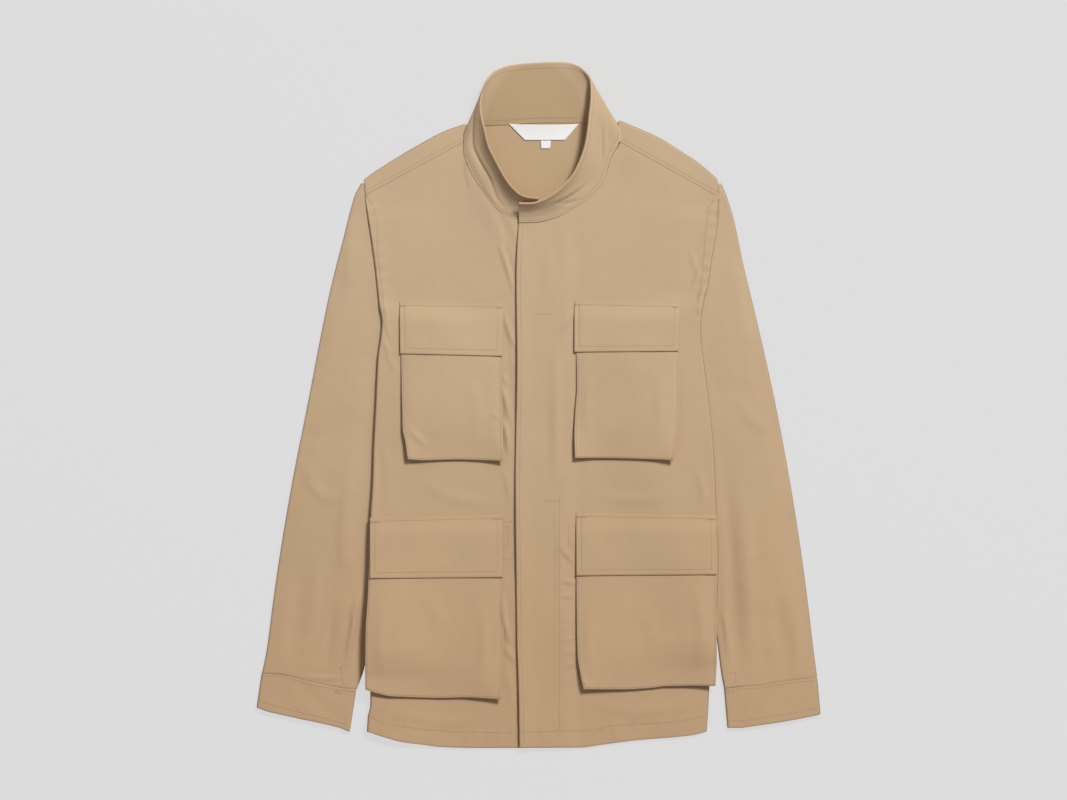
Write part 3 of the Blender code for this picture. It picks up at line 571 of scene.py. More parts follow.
def front_grid(side):
    """A front: columns run from its centre edge out, round the side fold to the seam."""
    x, y = neck_corner(side)
    near = (x - centre_x(side, y)) / (fold_start(side, y)[0] - centre_x(side, y))
    inner = round(FRONT_COLUMNS * float(near))
    outer = (1 - steps(FRONT_COLUMNS - inner)) ** SIDE_CROWDING
    share = np.concatenate((near * steps(inner)[:-1], mix(1.0, near, outer)))

    def flat_x(share, y):
        return mix(centre_x(side, y), fold_start(side, y)[0], share)

    top = np.full(share.shape, y)
    for _ in range(TOP_PASSES):
        top = mix(top, front_top(side, flat_x(share, top)), TOP_STRIDE)
    hem = read(HEM, flat_x(share, HEM_Y))
    y = row_places(top, UNDERARM_TURN[side][1], row_levels(side, ROWS)[:, None], hem, ROWS)
    x = flat_x(share, y)
    z = front_level(side, x, y) + front_relief(side, x, y) + armhole_lift(side, x, y)
    flat = np.stack((x, y, z), axis=-1)

    count = len(y)
    edge = y[:, -1] - CORNER_DROP * np.clip(1 - np.arange(count) / CORNER_ROWS, 0, 1)
    start, level = fold_start(side, edge)
    angle = side_turn(side, edge)[:, None] * steps(FOLD_STEPS)[1:]
    lift = front_relief(side, start, edge)[:, None] * (1 + np.cos(angle)) / 2
    lift += armhole_lift(side, start, edge)[:, None]
    x = start[:, None] + side * SIDE_FOLD * np.sin(angle)
    z = level[:, None] - SIDE_FOLD * (1 - np.cos(angle)) + lift
    fold = np.stack((x, edge[:, None] + 0 * x, z), axis=-1)

    end = side_seam_x(side, edge) + side * past_seam(side, edge)
    x = mix(start[:, None], end[:, None], steps(STRIP_COLUMNS)[1:])
    deep = edge[:, None] + 0 * x
    strip = np.stack((x, deep, strip_level(side, x, deep)), axis=-1)
    grid = np.concatenate((flat, fold, strip), axis=1)
    kept = np.ones(grid.shape[:2], bool)
    wide = ((start - end) * side > NARROWEST_STRIP) & (np.arange(count) > ROWS[0])
    kept[:, -STRIP_COLUMNS:] = wide[:, None]
    return grid, kept


def back_grid():
    """The back: over each shoulder from the forward seam, then flat down to the hem."""
    outer_left, left = SHOULDER[-1][-1][0] + YOKE_END, SHOULDER[-1][1][0] + YOKE_IN
    outer_right, right = SHOULDER[1][-1][0] - YOKE_END, SHOULDER[1][1][0] - YOKE_IN
    parts = [
        mix(outer_left, left, steps(YOKE_COLUMNS)[:-1]),
        mix(left, right, steps(NECK_COLUMNS)[:-1]),
        mix(right, outer_right, steps(YOKE_COLUMNS)),
    ]
    columns = np.concatenate(parts)
    sides = np.where(columns <= left + SMALL, -1, np.where(columns >= right - SMALL, 1, 0))
    top = np.stack((columns, read(BACK_NECK, columns)), axis=-1)
    rows = YOKE_ROWS + FOLD_STEPS
    over = np.zeros((rows, len(columns), 3))
    for side in (-1, 1):
        chosen = sides == side
        x = columns[chosen]
        table = SHOULDER[side][1:]
        share = ((x - table[0][0]) / (table[-1][0] - table[0][0]))[:, None]
        fold = np.stack((x, read(("x", *sorted(table)), x)), axis=-1)
        seam = mix(np.array(SHOULDER_SEAM[side][0]), np.array(SHOULDER_SEAM[side][1]), share)
        way = (seam - fold) / np.linalg.norm(seam - fold, axis=1)[:, None]
        top[chosen] = fold + way * (SHOULDER_FOLD + CLOTH / 2)
        for row in range(rows):
            rise = 2.0  # in radii of the fold
            place = mix(seam, top[chosen], min(1.0, row / YOKE_ROWS))
            if row > YOKE_ROWS:
                angle = math.pi * (row - YOKE_ROWS) / FOLD_STEPS
                place = top[chosen] - way * SHOULDER_FOLD * math.sin(angle)
                rise = 1 + math.cos(angle)
            lift = yoke_relief(place[:, 0], place[:, 1]) * rise / 2
            over[row, chosen, :2] = place
            over[row, chosen, 2] = FLOOR + SHOULDER_FOLD * rise + lift

    def edge(side, y):
        return side_seam_x(side, y) - side * past_seam(side, y)

    low, high = edge(-1, top[:, 1]), edge(1, top[:, 1])
    across = np.clip((top[:, 0] - low) / (high - low), 0.0, 1.0)
    levels = [row_levels(side, BACK_ROWS) for side in (-1, 1)]
    turn = mix(UNDERARM_TURN[-1][1], UNDERARM_TURN[1][1], across)
    hem = read(HEM, mix(edge(-1, HEM_Y), edge(1, HEM_Y), across))
    level = mix(levels[0][:, None], levels[1][:, None], across)
    y = row_places(top[:, 1], turn, level, hem, BACK_ROWS)
    ends = []
    for side, own in zip((-1, 1), levels):
        own = np.concatenate((own, np.full(BACK_ROWS[3], HEM_ROWS_FROM)))
        lower = np.broadcast_to(edge(side, own)[:, None], (len(own), len(columns)))
        ends.append(np.vstack((edge(side, y[: BACK_ROWS[0]]), lower)))
    x = mix(*ends, across)
    flat = np.stack((x, y, np.full(x.shape, FLOOR)), axis=-1)
    kept = np.ones((rows + len(flat), len(columns)), bool)
    kept[:rows] = sides != 0
    return np.concatenate((over, flat), axis=0), kept


# Sleeves and cuffs -----------------------------------------------------------


def tube_ring(width, fold, wall, bend):
    """Section of a flattened tube: distance in from its outer edge, and level.

    One of its points lies at the share bend of its width.
    """
    low = wall / 2
    near, far = low + fold, width - low - fold
    outer, inner = (steps(count)[:-1] for count in SLEEVE_ACROSS)
    flat = np.concatenate((mix(near, width * bend, outer), mix(width * bend, far, inner)))
    angle = math.pi * steps(FOLD_STEPS)[:-1]
    inward = np.concatenate(
        (
            flat,
            far + fold * np.sin(angle),
            np.append(flat[1:], far)[::-1],
            near - fold * np.sin(angle),
        )
    )
    level = np.concatenate(
        (
            np.full(len(flat), low + 2 * fold),
            low + fold * (1 + np.cos(angle)),
            np.full(len(flat), low),
            low + fold * (1 - np.cos(angle)),
        )
    )
    return inward, level


def armhole(side):
    """The sleeve's end seen from above, from the shoulder to the underarm."""
    turn, corner = UNDERARM_TURN[side], SLEEVE_UNDERARM[side]
    y = mix(SLEEVE_TOP, turn[1], steps(ARMHOLE_STEPS)[:-1])
    line = np.vstack((np.stack((side_x(side, y), y), axis=-1), turn, corner))
    return line + (side * 3 * GAP, -2 * GAP)


def sleeve_grid(side):
    head = armhole(side)
    wrist = on_plan(CUFF_SEAM[side], (0, GAP - CUFF_LAP))
    bend = length_of(head[:-1]) / length_of(head)
    wide, narrow = length_of(head), length_of(wrist)
    rows = []
    for down in steps(SLEEVE_STATIONS):
        width = mix(wide, narrow, down)
        inward, level = tube_ring(width, SLEEVE_FOLD, CLOTH, bend)
        across = (inward / width)[:, None]
        y_out, y_in = mix(head[0][1], wrist[0][1], down), mix(head[-1][1], wrist[-1][1], down)
        outer = np.array((read(SLEEVE_OUTER[side], y_out), y_out))
        inner = np.array((read(SLEEVE_INNER[side], y_in), y_in))
        place = mix(outer, inner, across)
        place += (walk(head, across[:, 0]) - mix(head[0], head[-1], across)) * (1 - down)
        place += (walk(wrist, across[:, 0]) - mix(wrist[0], wrist[-1], across)) * down
        raised = (level - CLOTH / 2) / (2 * SLEEVE_FOLD)
        level = level + raised * sleeve_relief(side, place[:, 0], place[:, 1])
        place[:, 0] -= side * TUCK * raised * np.clip(1 - down * TUCK_ROWS, 0, 1)
        rows.append(np.column_stack((place, level)))
    return np.array(rows)


def cuff_grid(side):
    top, bottom = on_plan(CUFF_SEAM[side]), on_plan(CUFF_EDGE[side])
    rows = []
    for down in steps(CUFF_STATIONS):
        width = mix(length_of(top), length_of(bottom), down)
        inward, level = tube_ring(width, CUFF_FOLD, BAND, CUFF_BEND)
        place = mix(walk(top, inward / width), walk(bottom, inward / width), down)
        raised = (level - BAND / 2) / (2 * CUFF_FOLD)
        level = level + raised * cuff_relief(side, inward / width, down)
        rows.append(np.column_stack((place, level)))
    return np.array(rows)


# Collar ------------------------------------------------------------------------


def collar_middle(at, rise):
    """Middle of the two layers at places along the table, and shares up from the seam."""
    rows = np.array(COLLAR[1:], float)
    toward_back = (rows[:, 4] - COLLAR_FRONT_Y) / (COLLAR_BACK_Y - COLLAR_FRONT_Y)
    top_z = mix(COLLAR_FRONT_RISE, COLLAR_BACK_RISE, toward_back**COLLAR_SWEEP)
    low, high, curl = rows[:, :3], np.column_stack((rows[:, 3:5], top_z)), rows[:, 5]
    at = np.clip(at, 0.0, len(rows) - 1.0)
    row = np.minimum(len(rows) - 2, at.astype(int))
    t = (at - row)[..., None]
    rise = np.asarray(rise)

    def middle(step):
        chosen = np.clip(row + step, 0, len(rows) - 1)
        risen = np.stack((rise, rise, rise ** curl[chosen]), axis=-1)
        return mix(low[chosen], high[chosen], risen)

    return (
        middle(0) * (1 - 2.5 * t**2 + 1.5 * t**3)
        + middle(1) * (0.5 * t + 2 * t**2 - 1.5 * t**3)
        + middle(-1) * (-0.5 * t + t**2 - 0.5 * t**3)
        + middle(2) * (0.5 * t**3 - 0.5 * t**2)
    )


def collar_grid(layer):
    last = len(COLLAR) - 2
    at, rise = np.meshgrid(last * steps(COLLAR_COLUMNS * last), steps(COLLAR_RISES))
    along = collar_middle(at + COLLAR_BESIDE, rise) - collar_middle(at - COLLAR_BESIDE, rise)
    up = collar_middle(at, np.minimum(rise + COLLAR_NEAR, 1))
    up = up - collar_middle(at, np.maximum(rise - COLLAR_NEAR, 0))
    out = np.cross(up, along)
    out /= np.linalg.norm(out, axis=-1)[..., None]
    middle = collar_middle(at, rise)
    relief = collar_relief(at, rise, middle[..., 0], middle[..., 1])
    relief = relief * ease(out[..., 2] / COLLAR_UPRIGHT)
    place = middle + out * (layer + relief[..., None])
    facing = out[..., 2] if layer > 0 else -out[..., 2]
    lap = COLLAR_LAP * np.clip(1 - rise / COLLAR_LAP_OVER, 0, 1)
    lap = lap * ease(facing / (2 * COLLAR_LAP_TILT) + 0.5)
    away = up * (1.0, 1.0, 0.0)
    away /= np.linalg.norm(away, axis=-1)[..., None]
    place = place - away * lap[..., None]
    place[..., 2] -= SEAM_SINK * lap / COLLAR_LAP
    return place


# Pockets -----------------------------------------------------------------------


def bag_off(down):
    return BAG_OFF + BAG_BELLY * ease((down - BAG_START) / BAG_BELLY_OVER)


def flap_off(down):
    sewn_on = mix(FLAP_TOP, FLAP_OFF, ease(down / FLAP_RISE_OVER))
    return sewn_on + FLAP_RISE * ease(down / FLAP_RISE_OVER) + bag_off(down) - BAG_OFF


def pocket_point(pocket, edges, ends, across, down):
    """Points of a flap or bag on the front's plan, and how far down the pocket they are."""
    top = mix(ends[0][0], ends[1][0], across)
    y = mix(top, mix(ends[0][1], ends[1][1], across), down)
    x = mix(read(edges, y, 1), read(edges, y, 2), across)
    if ends is pocket["bag_ends"]:
        y = y - read(pocket["bow"], across) * down**2
    flap_top = mix(pocket["flap_ends"][0][0], pocket["flap_ends"][1][0], across)
    return x, y, flap_top - y


def under_pocket(side, x, y):
    """The front's level, with its creases softened as the doubled cloth does."""
    relief = front_relief(side, x, y)
    softened = np.maximum(UNDER_POCKET_SHARE * relief, relief - UNDER_POCKET_LESS)
    return front_level(side, x, y) + softened


def flap_grid(name, pocket):
    across, down = np.meshgrid(steps(POCKET_COLUMNS), steps(FLAP_ROWS))
    x, y, below = pocket_point(pocket, pocket["flap"], pocket["flap_ends"], across, down)
    level = under_pocket(pocket["side"], x, y) + flap_off(below)
    return np.stack((x, y, level + flap_relief(name, across, down, x, y)), axis=-1)


def bag_grid(name, pocket):
    across, down = np.meshgrid(steps(POCKET_COLUMNS), steps(BAG_ROWS))
    x, y, below = pocket_point(pocket, pocket["bag"], pocket["bag_ends"], across, down)
    level = under_pocket(pocket["side"], x, y) + bag_off(below)
    return np.stack((x, y, level + bag_relief(name, across, down, x, y)), axis=-1)


def gusset_grid(name, pocket):
    """Wall down both sides and along the bottom, between the front and the bag."""
    sides, bottom, rises = GUSSET_STEPS
    left_in, right_in = pocket["inset"]
    left_down = mix(GUSSET_START, 1.0, steps(sides)[:-1])
    across = np.concatenate((left_down * 0, steps(bottom), left_down * 0 + 1))
    down = np.concatenate((left_down, steps(bottom) * 0 + 1, left_down[::-1]))
    x, y, _ = pocket_point(pocket, pocket["bag"], pocket["bag_ends"], across, down)
    x = x + mix(left_in, -right_in, across)
    y = y + GUSSET_IN * (down - GUSSET_START) / (1 - GUSSET_START)
    below = mix(pocket["flap_ends"][0][0], pocket["flap_ends"][1][0], across) - y
    front = under_pocket(pocket["side"], x, y)
    low = front_level(pocket["side"], x, y) + front_relief(pocket["side"], x, y) + CLOTH / 2 + GAP
    high = front + bag_off(below) + bag_relief(name, across, down, x, y) - CLOTH / 2 - GAP
    level = mix(low, np.maximum(high, low + GAP), steps(rises)[:, None])
    return np.stack((x + 0 * level, y + 0 * level, level), axis=-1)


# Creases: height and width in mm, and the course of each on the plan. Heights below 0
# are troughs.
FRONT_CREASES = (
    ("piece", "height", "width", "course"),
    ("right", -1.3, 3.4, ((-44, 218), (-37, 178), (-27, 127))),
    ("right", -1.3, 3.4, ((-40, 109), (-36, 42), (-27, -28))),
    ("right", -1.12, 7.1, ((-52, 239), (-40, 211), (-27, 182))),
    ("right", 2.75, 4.0, ((-46, 190), (-38, 165), (-28, 132))),
    ("right", 2.61, 3.9, ((-41, 109), (-36, 89), (-29, 70))),
    ("right", 1.92, 2.9, ((-43, 36), (-38, 24))),
    ("right", 3.85, 4.0, ((-44, 21), (-39, 4), (-36, -16))),
    ("right", 3.85, 4.0, ((-43, -19), (-38, -36), (-36, -56))),
    ("right", 1.24, 5.4, ((-40, -77), (-36, -99), (-33, -119))),
    ("right", 3.58, 4.2, ((-44, -225), (-42, -252), (-35, -282))),
    ("right", 1.65, 4.4, ((-39, -286), (-35, -296), (-29, -305))),
    ("right", 0.96, 5.4, ((-37, -318), (-33, -339), (-32, -358))),
    ("right", 1.24, 3.3, ((-185, 76), (-177, 61))),
    ("right", 0.96, 3.9, ((-186, 125), (-180, 99))),
    ("right", 0.96, 3.3, ((-184, 104), (-176, 80))),
    ("right", 0.82, 4.4, ((-182, 63), (-170, 39))),
    ("right", 0.88, 10.7, ((-142, -89), (-104, -109), (-56, -117))),
    ("right", -1.0, 7.1, ((-192, -42), (-188, -89), (-189, -127))),
    ("right", 0.62, 9.5, ((-180, -363), (-130, -374), (-70, -377))),
    ("left", 1.12, 7.1, ((19, 84), (30, 96), (41, 112))),
    ("left", 1.5, 10.7, ((19, 71), (21, -6), (20, -89))),
    ("left", -1.12, 8.3, ((32, 60), (30, -6), (32, -77))),
    ("left", 2.75, 3.3, ((26, -168), (33, -178), (41, -187))),
    ("left", 2.2, 2.9, ((27, -208), (42, -212))),
    ("left", 1.79, 2.9, ((26, -226), (40, -228))),
    ("left", 0.69, 3.3, ((27, -253), (42, -252))),
    ("left", 0.82, 3.3, ((27, -280), (42, -277))),
    ("left", 0.82, 3.3, ((29, -294), (44, -292))),
    ("left", 0.96, 3.3, ((29, -311), (45, -306))),
    ("left", 1.25, 8.3, ((20, -113), (25, -184), (21, -280))),
    ("left", -1.1, 3.3, ((-6, -387), (3, -399))),
    ("left", 1.1, 3.3, ((195, 170), (182, 137))),
    ("left", 1.1, 3.3, ((199, 143), (188, 121))),
    ("left", 0.82, 4.4, ((180, 184), (189, 154))),
    ("left", 1.0, 7.1, ((188, -77), (196, -104), (193, -123))),
    ("left", 0.75, 10.7, ((61, -104), (108, -113), (156, -109))),
    ("left", 0.62, 14.3, ((120, 206), (73, 170), (43, 137))),
    ("left", 0.75, 10.7, ((7, 196), (11, 161), (7, 119))),
    ("left", 0.62, 9.5, ((61, -356), (120, -365), (180, -357))),
)
SLEEVE_CREASES = (
    ("piece", "height", "width", "course"),
    ("right", 3.9, 5.4, ((-211, -220), (-218, -242), (-221, -265), (-228, -303))),
    ("right", 1.39, 3.3, ((-276, -322), (-257, -325), (-237, -324))),
    ("right", 1.82, 10.7, ((-223, -77), (-231, -137), (-232, -202))),
    ("right", 1.12, 14.3, ((-239, 125), (-249, 71), (-263, 12))),
    ("right", 0.98, 10.7, ((-277, -77), (-263, -104), (-239, -113))),
    ("right", -1.26, 14.3, ((-284, -184), (-289, -244), (-299, -298))),
    ("right", 1.26, 11.9, ((-263, -184), (-268, -244), (-277, -303))),
    ("right", -1.12, 8.3, ((-244, -232), (-249, -280), (-253, -318))),
    ("right", 0.98, 10.7, ((-223, 226), (-225, 184), (-230, 143))),
    ("left", -1.96, 13.1, ((221, -89), (227, -167), (232, -244), (238, -327))),
    ("left", 2.16, 4.4, ((213, -230), (219, -246), (223, -269), (226, -298))),
    ("left", 1.4, 13.1, ((242, -113), (249, -196), (253, -280), (256, -318))),
    ("left", 1.12, 11.9, ((233, 173), (240, 125), (249, 71))),
    ("left", 0.98, 10.7, ((275, -137), (268, -170), (245, -187))),
    ("left", -1.12, 13.1, ((281, -220), (288, -268), (292, -313))),
    ("left", 0.98, 10.7, ((305, -232), (308, -280), (311, -315))),
    ("left", 0.84, 10.7, ((242, 6), (253, -18), (273, -27))),
)
COLLAR_CREASES = (
    ("piece", "height", "width", "course"),
    ("collar", 1.2, 6.0, ((-82, 335), (-85, 309), (-77, 287), (-65, 264), (-57, 246), (-45, 232))),
    (
        "collar",
        -2.0,
        2.8,
        ((-73, 363), (-77.4, 339), (-78.5, 309), (-70, 289), (-58, 268), (-50, 246), (-40, 233)),
    ),
    ("collar", -0.9, 3.0, ((73.8, 336), (74.5, 312), (74, 290))),
    ("collar", 0.9, 3.6, ((78, 334), (79, 310), (77, 288))),
    ("collar", -0.9, 3.4, ((9.5, 235.6), (37, 248.7), (54.7, 260.6), (64, 275))),
    ("collar", 0.8, 4.0, ((14, 241), (36, 252), (52, 264))),
    ("collar", -0.8, 3.2, ((19, 239.4), (42.8, 241.6), (58.3, 247))),
    ("collar", -0.8, 5.0, ((-22, 229), (-8, 231), (8, 236))),
)
POCKET_CREASES = (
    ("piece", "height", "width", "course"),
    ("chest_right", 1.38, 3.3, ((-56, -10), (-45, -17))),
    ("chest_right", 1.1, 5.4, ((-156, -27), (-145, -38), (-134, -48))),
    ("chest_right", 0.75, 10.7, ((-82, 36), (-73, -6), (-75, -48))),
    ("chest_left", 0.75, 9.5, ((61, 30), (56, -6), (61, -42))),
    ("chest_left", 0.75, 10.7, ((138, 42), (144, -6), (140, -48))),
    ("lower_right", 1.0, 9.5, ((-183, -232), (-188, -280), (-184, -327))),
    ("lower_right", 1.0, 9.5, ((-73, -232), (-65, -280), (-70, -339))),
    ("lower_right", 0.62, 14.3, ((-142, -220), (-118, -256), (-120, -292))),
    ("lower_left", 0.88, 9.5, ((63, -232), (58, -280), (65, -321))),
    ("lower_left", 1.0, 9.5, ((187, -220), (194, -268), (190, -315))),
    ("lower_left", 1.92, 4.4, ((45, -308), (50, -327), (61, -334))),
    ("lower_left", 0.62, 14.3, ((120, -232), (134, -274), (130, -303))),
)


CREASE_POINTS = 40
CREASE_REACH = 2.5  # in widths
CREASE_TROUGH = 0.3  # share of a crease's height
CREASE_TROUGH_WIDE = 5.0  # times as much spread as the ridge
CREASE_ENDS = (0.03, 0.97)  # shares of a half wave between which it rises and falls
CREASE_FULL = 0.8  # below 1, it reaches its height sooner
SWELLS = (
    ("cloth", "seed", "length", "height"),
    ("front", 11, 130.0, 0.22),
    ("front", 21, 42.0, 0.05),
    ("sleeve", 31, 120.0, 0.3),
    ("sleeve", 41, 36.0, 0.07),
    ("cuff", 51, 45.0, 0.16),
    ("collar", 61, 70.0, 0.35),
    ("pocket", 71, 75.0, 0.1),
    ("flap", 81, 48.0, 0.1),
)
WAVES = 9
WAVE_SIZES = (0.6, 1.7)  # times the length
WAVES_SPREAD = 2.1  # of their sum
HEM_PUCKERS = (5, 16.0, 9.0, 0.16)  # seed, length, reach, height
PUCKER_STEP = 2.0  # between points of the line they cross
ARMHOLE_PUCKERS = (7, 14.0, 8.0, 0.16)
ARMHOLE_LEVELS = (245, 200, 160, 120, 95)  # y of the places that its puckers follow
ARMHOLE_IN = 6.0
FRONT_TROUGH = 0.8  # depth before which its troughs flatten out
UNDERLAP_CALM = -22.0  # past here the front that laps under is flat
UNDERLAP_EASE = 8.0
FLY_CALM = 0.6  # share of the creases that the fly's stiff edge takes
FLY_CALM_FROM = -4.0
FLY_CALM_OVER = 30.0
PLACKET_WAVE = 0.3  # share of its lift
PLACKET_WAVE_OVER = 33.0
OVERLAP_TO = 28.0  # the front on top follows the one below as far as here
OVERLAP_SINK = 0.5
SLEEVE_CROWN_IN = 38.0  # over which the crown rises from the body, and from the outer fold
SLEEVE_CROWN_OUT = 26.0
SLEEVE_TROUGH = 1.1
SLEEVE_CALM = 14.0  # beside the body, over which its creases start
SLEEVE_DIP_AT = 5.0
SLEEVE_DIP_WIDE = 11.0
SLEEVE_DIP_OVER = 150.0
CUFF_WIDE = 110.0
CUFF_DEEP = 50.0
CUFF_CROWN = 0.7
COLLAR_ROW_WIDE = 16.0  # about the collar's length between two rows of its table
COLLAR_DEEP = 60.0
COLLAR_CALM = (0.12, 0.08)  # shares of its height at seam and top without creases


def near_line(line, reach, x, y):
    """Places within reach of a chain of points, the nearest of these, and its distance squared."""
    low, high = line.min(axis=0) - reach, line.max(axis=0) + reach
    near = (x > low[0]) & (x < high[0]) & (y > low[1]) & (y < high[1])
    apart = (x[near][:, None] - line[:, 0]) ** 2 + (y[near][:, None] - line[:, 1]) ** 2
    return near, apart.argmin(axis=1), apart.min(axis=1)


def creases(table, piece, x, y):
    """Height of a piece's creases: soft ridges with shallow troughs beside them."""
    total = np.zeros(np.broadcast(x, y).shape)
    x, y = x + total, y + total
    for name, height, width, course in table[1:]:
        if name != piece:
            continue
        line = smooth(course, CREASE_POINTS)
        near, at, off = near_line(line, CREASE_REACH * width, x, y)
        off = off / (width / 2) ** 2
        ends = np.sin(math.pi * mix(*CREASE_ENDS, at / (CREASE_POINTS - 1))) ** CREASE_FULL
        ridge = np.exp(-off / 2)
        trough = CREASE_TROUGH * np.exp(-off / (2 * CREASE_TROUGH_WIDE))
        total[near] += height * ends * (ridge - trough)
    return total


def waves(x, y, seed, length, height):
    """Broad uneven waves of about a length."""
    draw = np.random.default_rng(seed)
    total = 0.0
    for _ in range(WAVES):
        way, phase = draw.uniform(0, 2 * math.pi, 2)
        size = length * draw.uniform(*WAVE_SIZES)
        total = total + np.sin((x * math.cos(way) + y * math.sin(way)) * 2 * math.pi / size + phase)
    return height * total / WAVES_SPREAD


def swells(cloth, number, x, y):
    """The waves of a kind of cloth, drawn for one of its pieces."""
    return sum(
        waves(x, y, seed + number, length, height)
        for name, seed, length, height in SWELLS[1:]
        if name == cloth
    )


def puckers(x, y, course, seed, length, reach, height):
    """Small ripples across a sewn line, uneven in height."""
    total = np.zeros(np.broadcast(x, y).shape)
    course = np.array(course, float)
    line = smooth(course, max(8, int(length_of(course) / PUCKER_STEP)))
    near, at, off = near_line(line, 3 * reach, x + total, y + total)
    wave = waves(at * PUCKER_STEP, 0.0, seed, length, 1.0)
    total[near] = height * wave * np.exp(-off / reach**2)
    return total


def floor_at(relief, depth):
    """Troughs that flatten out before a depth."""
    return np.where(relief < 0, -depth * np.tanh(-relief / depth), relief)


def front_relief(side, x, y):
    name = "right" if side < 0 else "left"
    relief = creases(FRONT_CREASES, name, x, y)
    relief = relief + swells("front", side, x, y)
    hem = [(x_hem, y_hem + HEM_STITCH) for x_hem, y_hem in HEM[1:]]
    relief = relief + puckers(x, y, hem, *HEM_PUCKERS)
    armhole_line = [(side_x(side, level) - side * ARMHOLE_IN, level) for level in ARMHOLE_LEVELS]
    relief = relief + puckers(x, y, armhole_line, *ARMHOLE_PUCKERS)
    relief = floor_at(relief, FRONT_TROUGH)
    if side < 0:
        inward = (x - side_x(side, y)) / SIDE_CURVE
        relief = relief + SIDE_LIFT * np.exp(-(inward**2)) * ease((SIDE_LIFT_FROM - y) / SIDE_LIFT_OVER)
        return relief * ease((UNDERLAP_CALM - x) / UNDERLAP_EASE)
    relief = relief * mix(FLY_CALM, 1.0, ease((x - FLY_CALM_FROM) / FLY_CALM_OVER))
    edge = (x - centre_x(side, y)) / PLACKET_CURVE
    lift = PLACKET_LIFT * (1 + PLACKET_WAVE * np.sin(y / PLACKET_WAVE_OVER))
    relief = relief + lift * np.exp(-(edge**2)) * ease((front_top(side, x) - y) / TOP_EASE)
    over = np.maximum(relief, front_relief(-1, x, y) - OVERLAP_SINK)
    return np.where(x < OVERLAP_TO, over, relief)


def yoke_relief(x, y):
    right, left = (front_relief(side, x, y) + armhole_lift(side, x, y) for side in (-1, 1))
    return np.where(x < 0, right, left)


def sleeve_relief(side, x, y):
    """It dies out beside the body, which the sleeve passes under."""
    outside = (x - side_x(side, y)) * side
    from_edge = (read(SLEEVE_OUTER[side], y) - x) * side
    relief = creases(SLEEVE_CREASES, "right" if side < 0 else "left", x, y)
    relief = relief + swells("sleeve", side, x, y)
    crown = ease(outside / SLEEVE_CROWN_IN) * ease(from_edge / SLEEVE_CROWN_OUT)
    relief = relief + SLEEVE_CROWN * crown
    relief = floor_at(relief, SLEEVE_TROUGH) * ease((outside - 1) / SLEEVE_CALM)
    if side < 0:
        dip = np.exp(-(((outside - SLEEVE_DIP_AT) / SLEEVE_DIP_WIDE) ** 2))
        dip = dip * ease((UNDERARM_TURN[side][1] - y) / SLEEVE_DIP_OVER)
        relief = relief - SLEEVE_DIP * dip
    return relief


def cuff_relief(side, across, down):
    wavy = swells("cuff", side, across * CUFF_WIDE, down * CUFF_DEEP)
    return wavy + CUFF_CROWN * np.sin(math.pi * np.clip(across, 0, 1))


def collar_relief(at, rise, x, y):
    """Along the collar's normal, the same in both of its layers."""
    relief = swells("collar", 0, at * COLLAR_ROW_WIDE, rise * COLLAR_DEEP) * np.sin(math.pi * rise)
    folds = creases(COLLAR_CREASES, "collar", x, y)
    return relief + folds * ease(rise / COLLAR_CALM[0]) * ease((1 - rise) / COLLAR_CALM[1])


def pocket_relief(name, x, y):
    relief = creases(POCKET_CREASES, name, x, y)
    return floor_at(relief + swells("pocket", list(POCKETS).index(name), x, y), POCKET_TROUGH)


def inside_edges(across, edge):
    """1 across a pocket, easing to 0 at both side edges."""
    return ease(across / edge) * ease((1 - across) / edge)


def pressed(across):
    return PRESSED * (1 - inside_edges(across, PRESSED_EDGE))


def bag_relief(name, across, down, x, y):
    inset = inside_edges(across, POCKET_EDGE)
    corners = BAG_CORNERS * (np.abs(2 * across - 1) ** 3 - BAG_CORNERS_LESS)
    corners = corners * ease((down - BAG_CORNERS_FROM) / (1 - BAG_CORNERS_FROM))
    swelling = BAG_SWELL * inset * ease((1 - down) / BAG_SWELL_END)
    return pocket_relief(name, x, y) * mix(0.5, 1.0, inset) + swelling + corners - pressed(across)


def flap_relief(name, across, down, x, y):
    """The flap follows the bag under it, and its corners curl a little."""
    inset = inside_edges(across, POCKET_EDGE)
    own = swells("flap", list(POCKETS).index(name), x, y) * down
    curl = FLAP_CURL * (1 - inset) * ease(down)
    return pocket_relief(name, x, y) + FLAP_SWELL * inset + own + curl - pressed(across)


# Meshes ------------------------------------------------------------------------


def add_mesh(name, points, faces, weave=None, edge=None):
    mesh = bpy.data.meshes.new(name)
    mesh.from_pydata((points * MM).tolist(), [], faces)
    mesh.polygons.foreach_set("use_smooth", np.ones(len(mesh.polygons), bool))
    if weave is not None:
        corners = np.empty(len(mesh.loops), int)
        mesh.loops.foreach_get("vertex_index", corners)
        layer = mesh.uv_layers.new(name="cloth")
        layer.data.foreach_set("uv", (weave[corners] * MM).ravel())
    # the edge attribute carries painted shade along rims and turned folds
    if edge is not None:
        mesh.attributes.new("edge", "FLOAT", "POINT").data.foreach_set("value", edge)
    mesh.update()
    piece = bpy.data.objects.new(name, mesh)
    bpy.context.scene.collection.objects.link(piece)
    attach(piece, "root")
    return piece


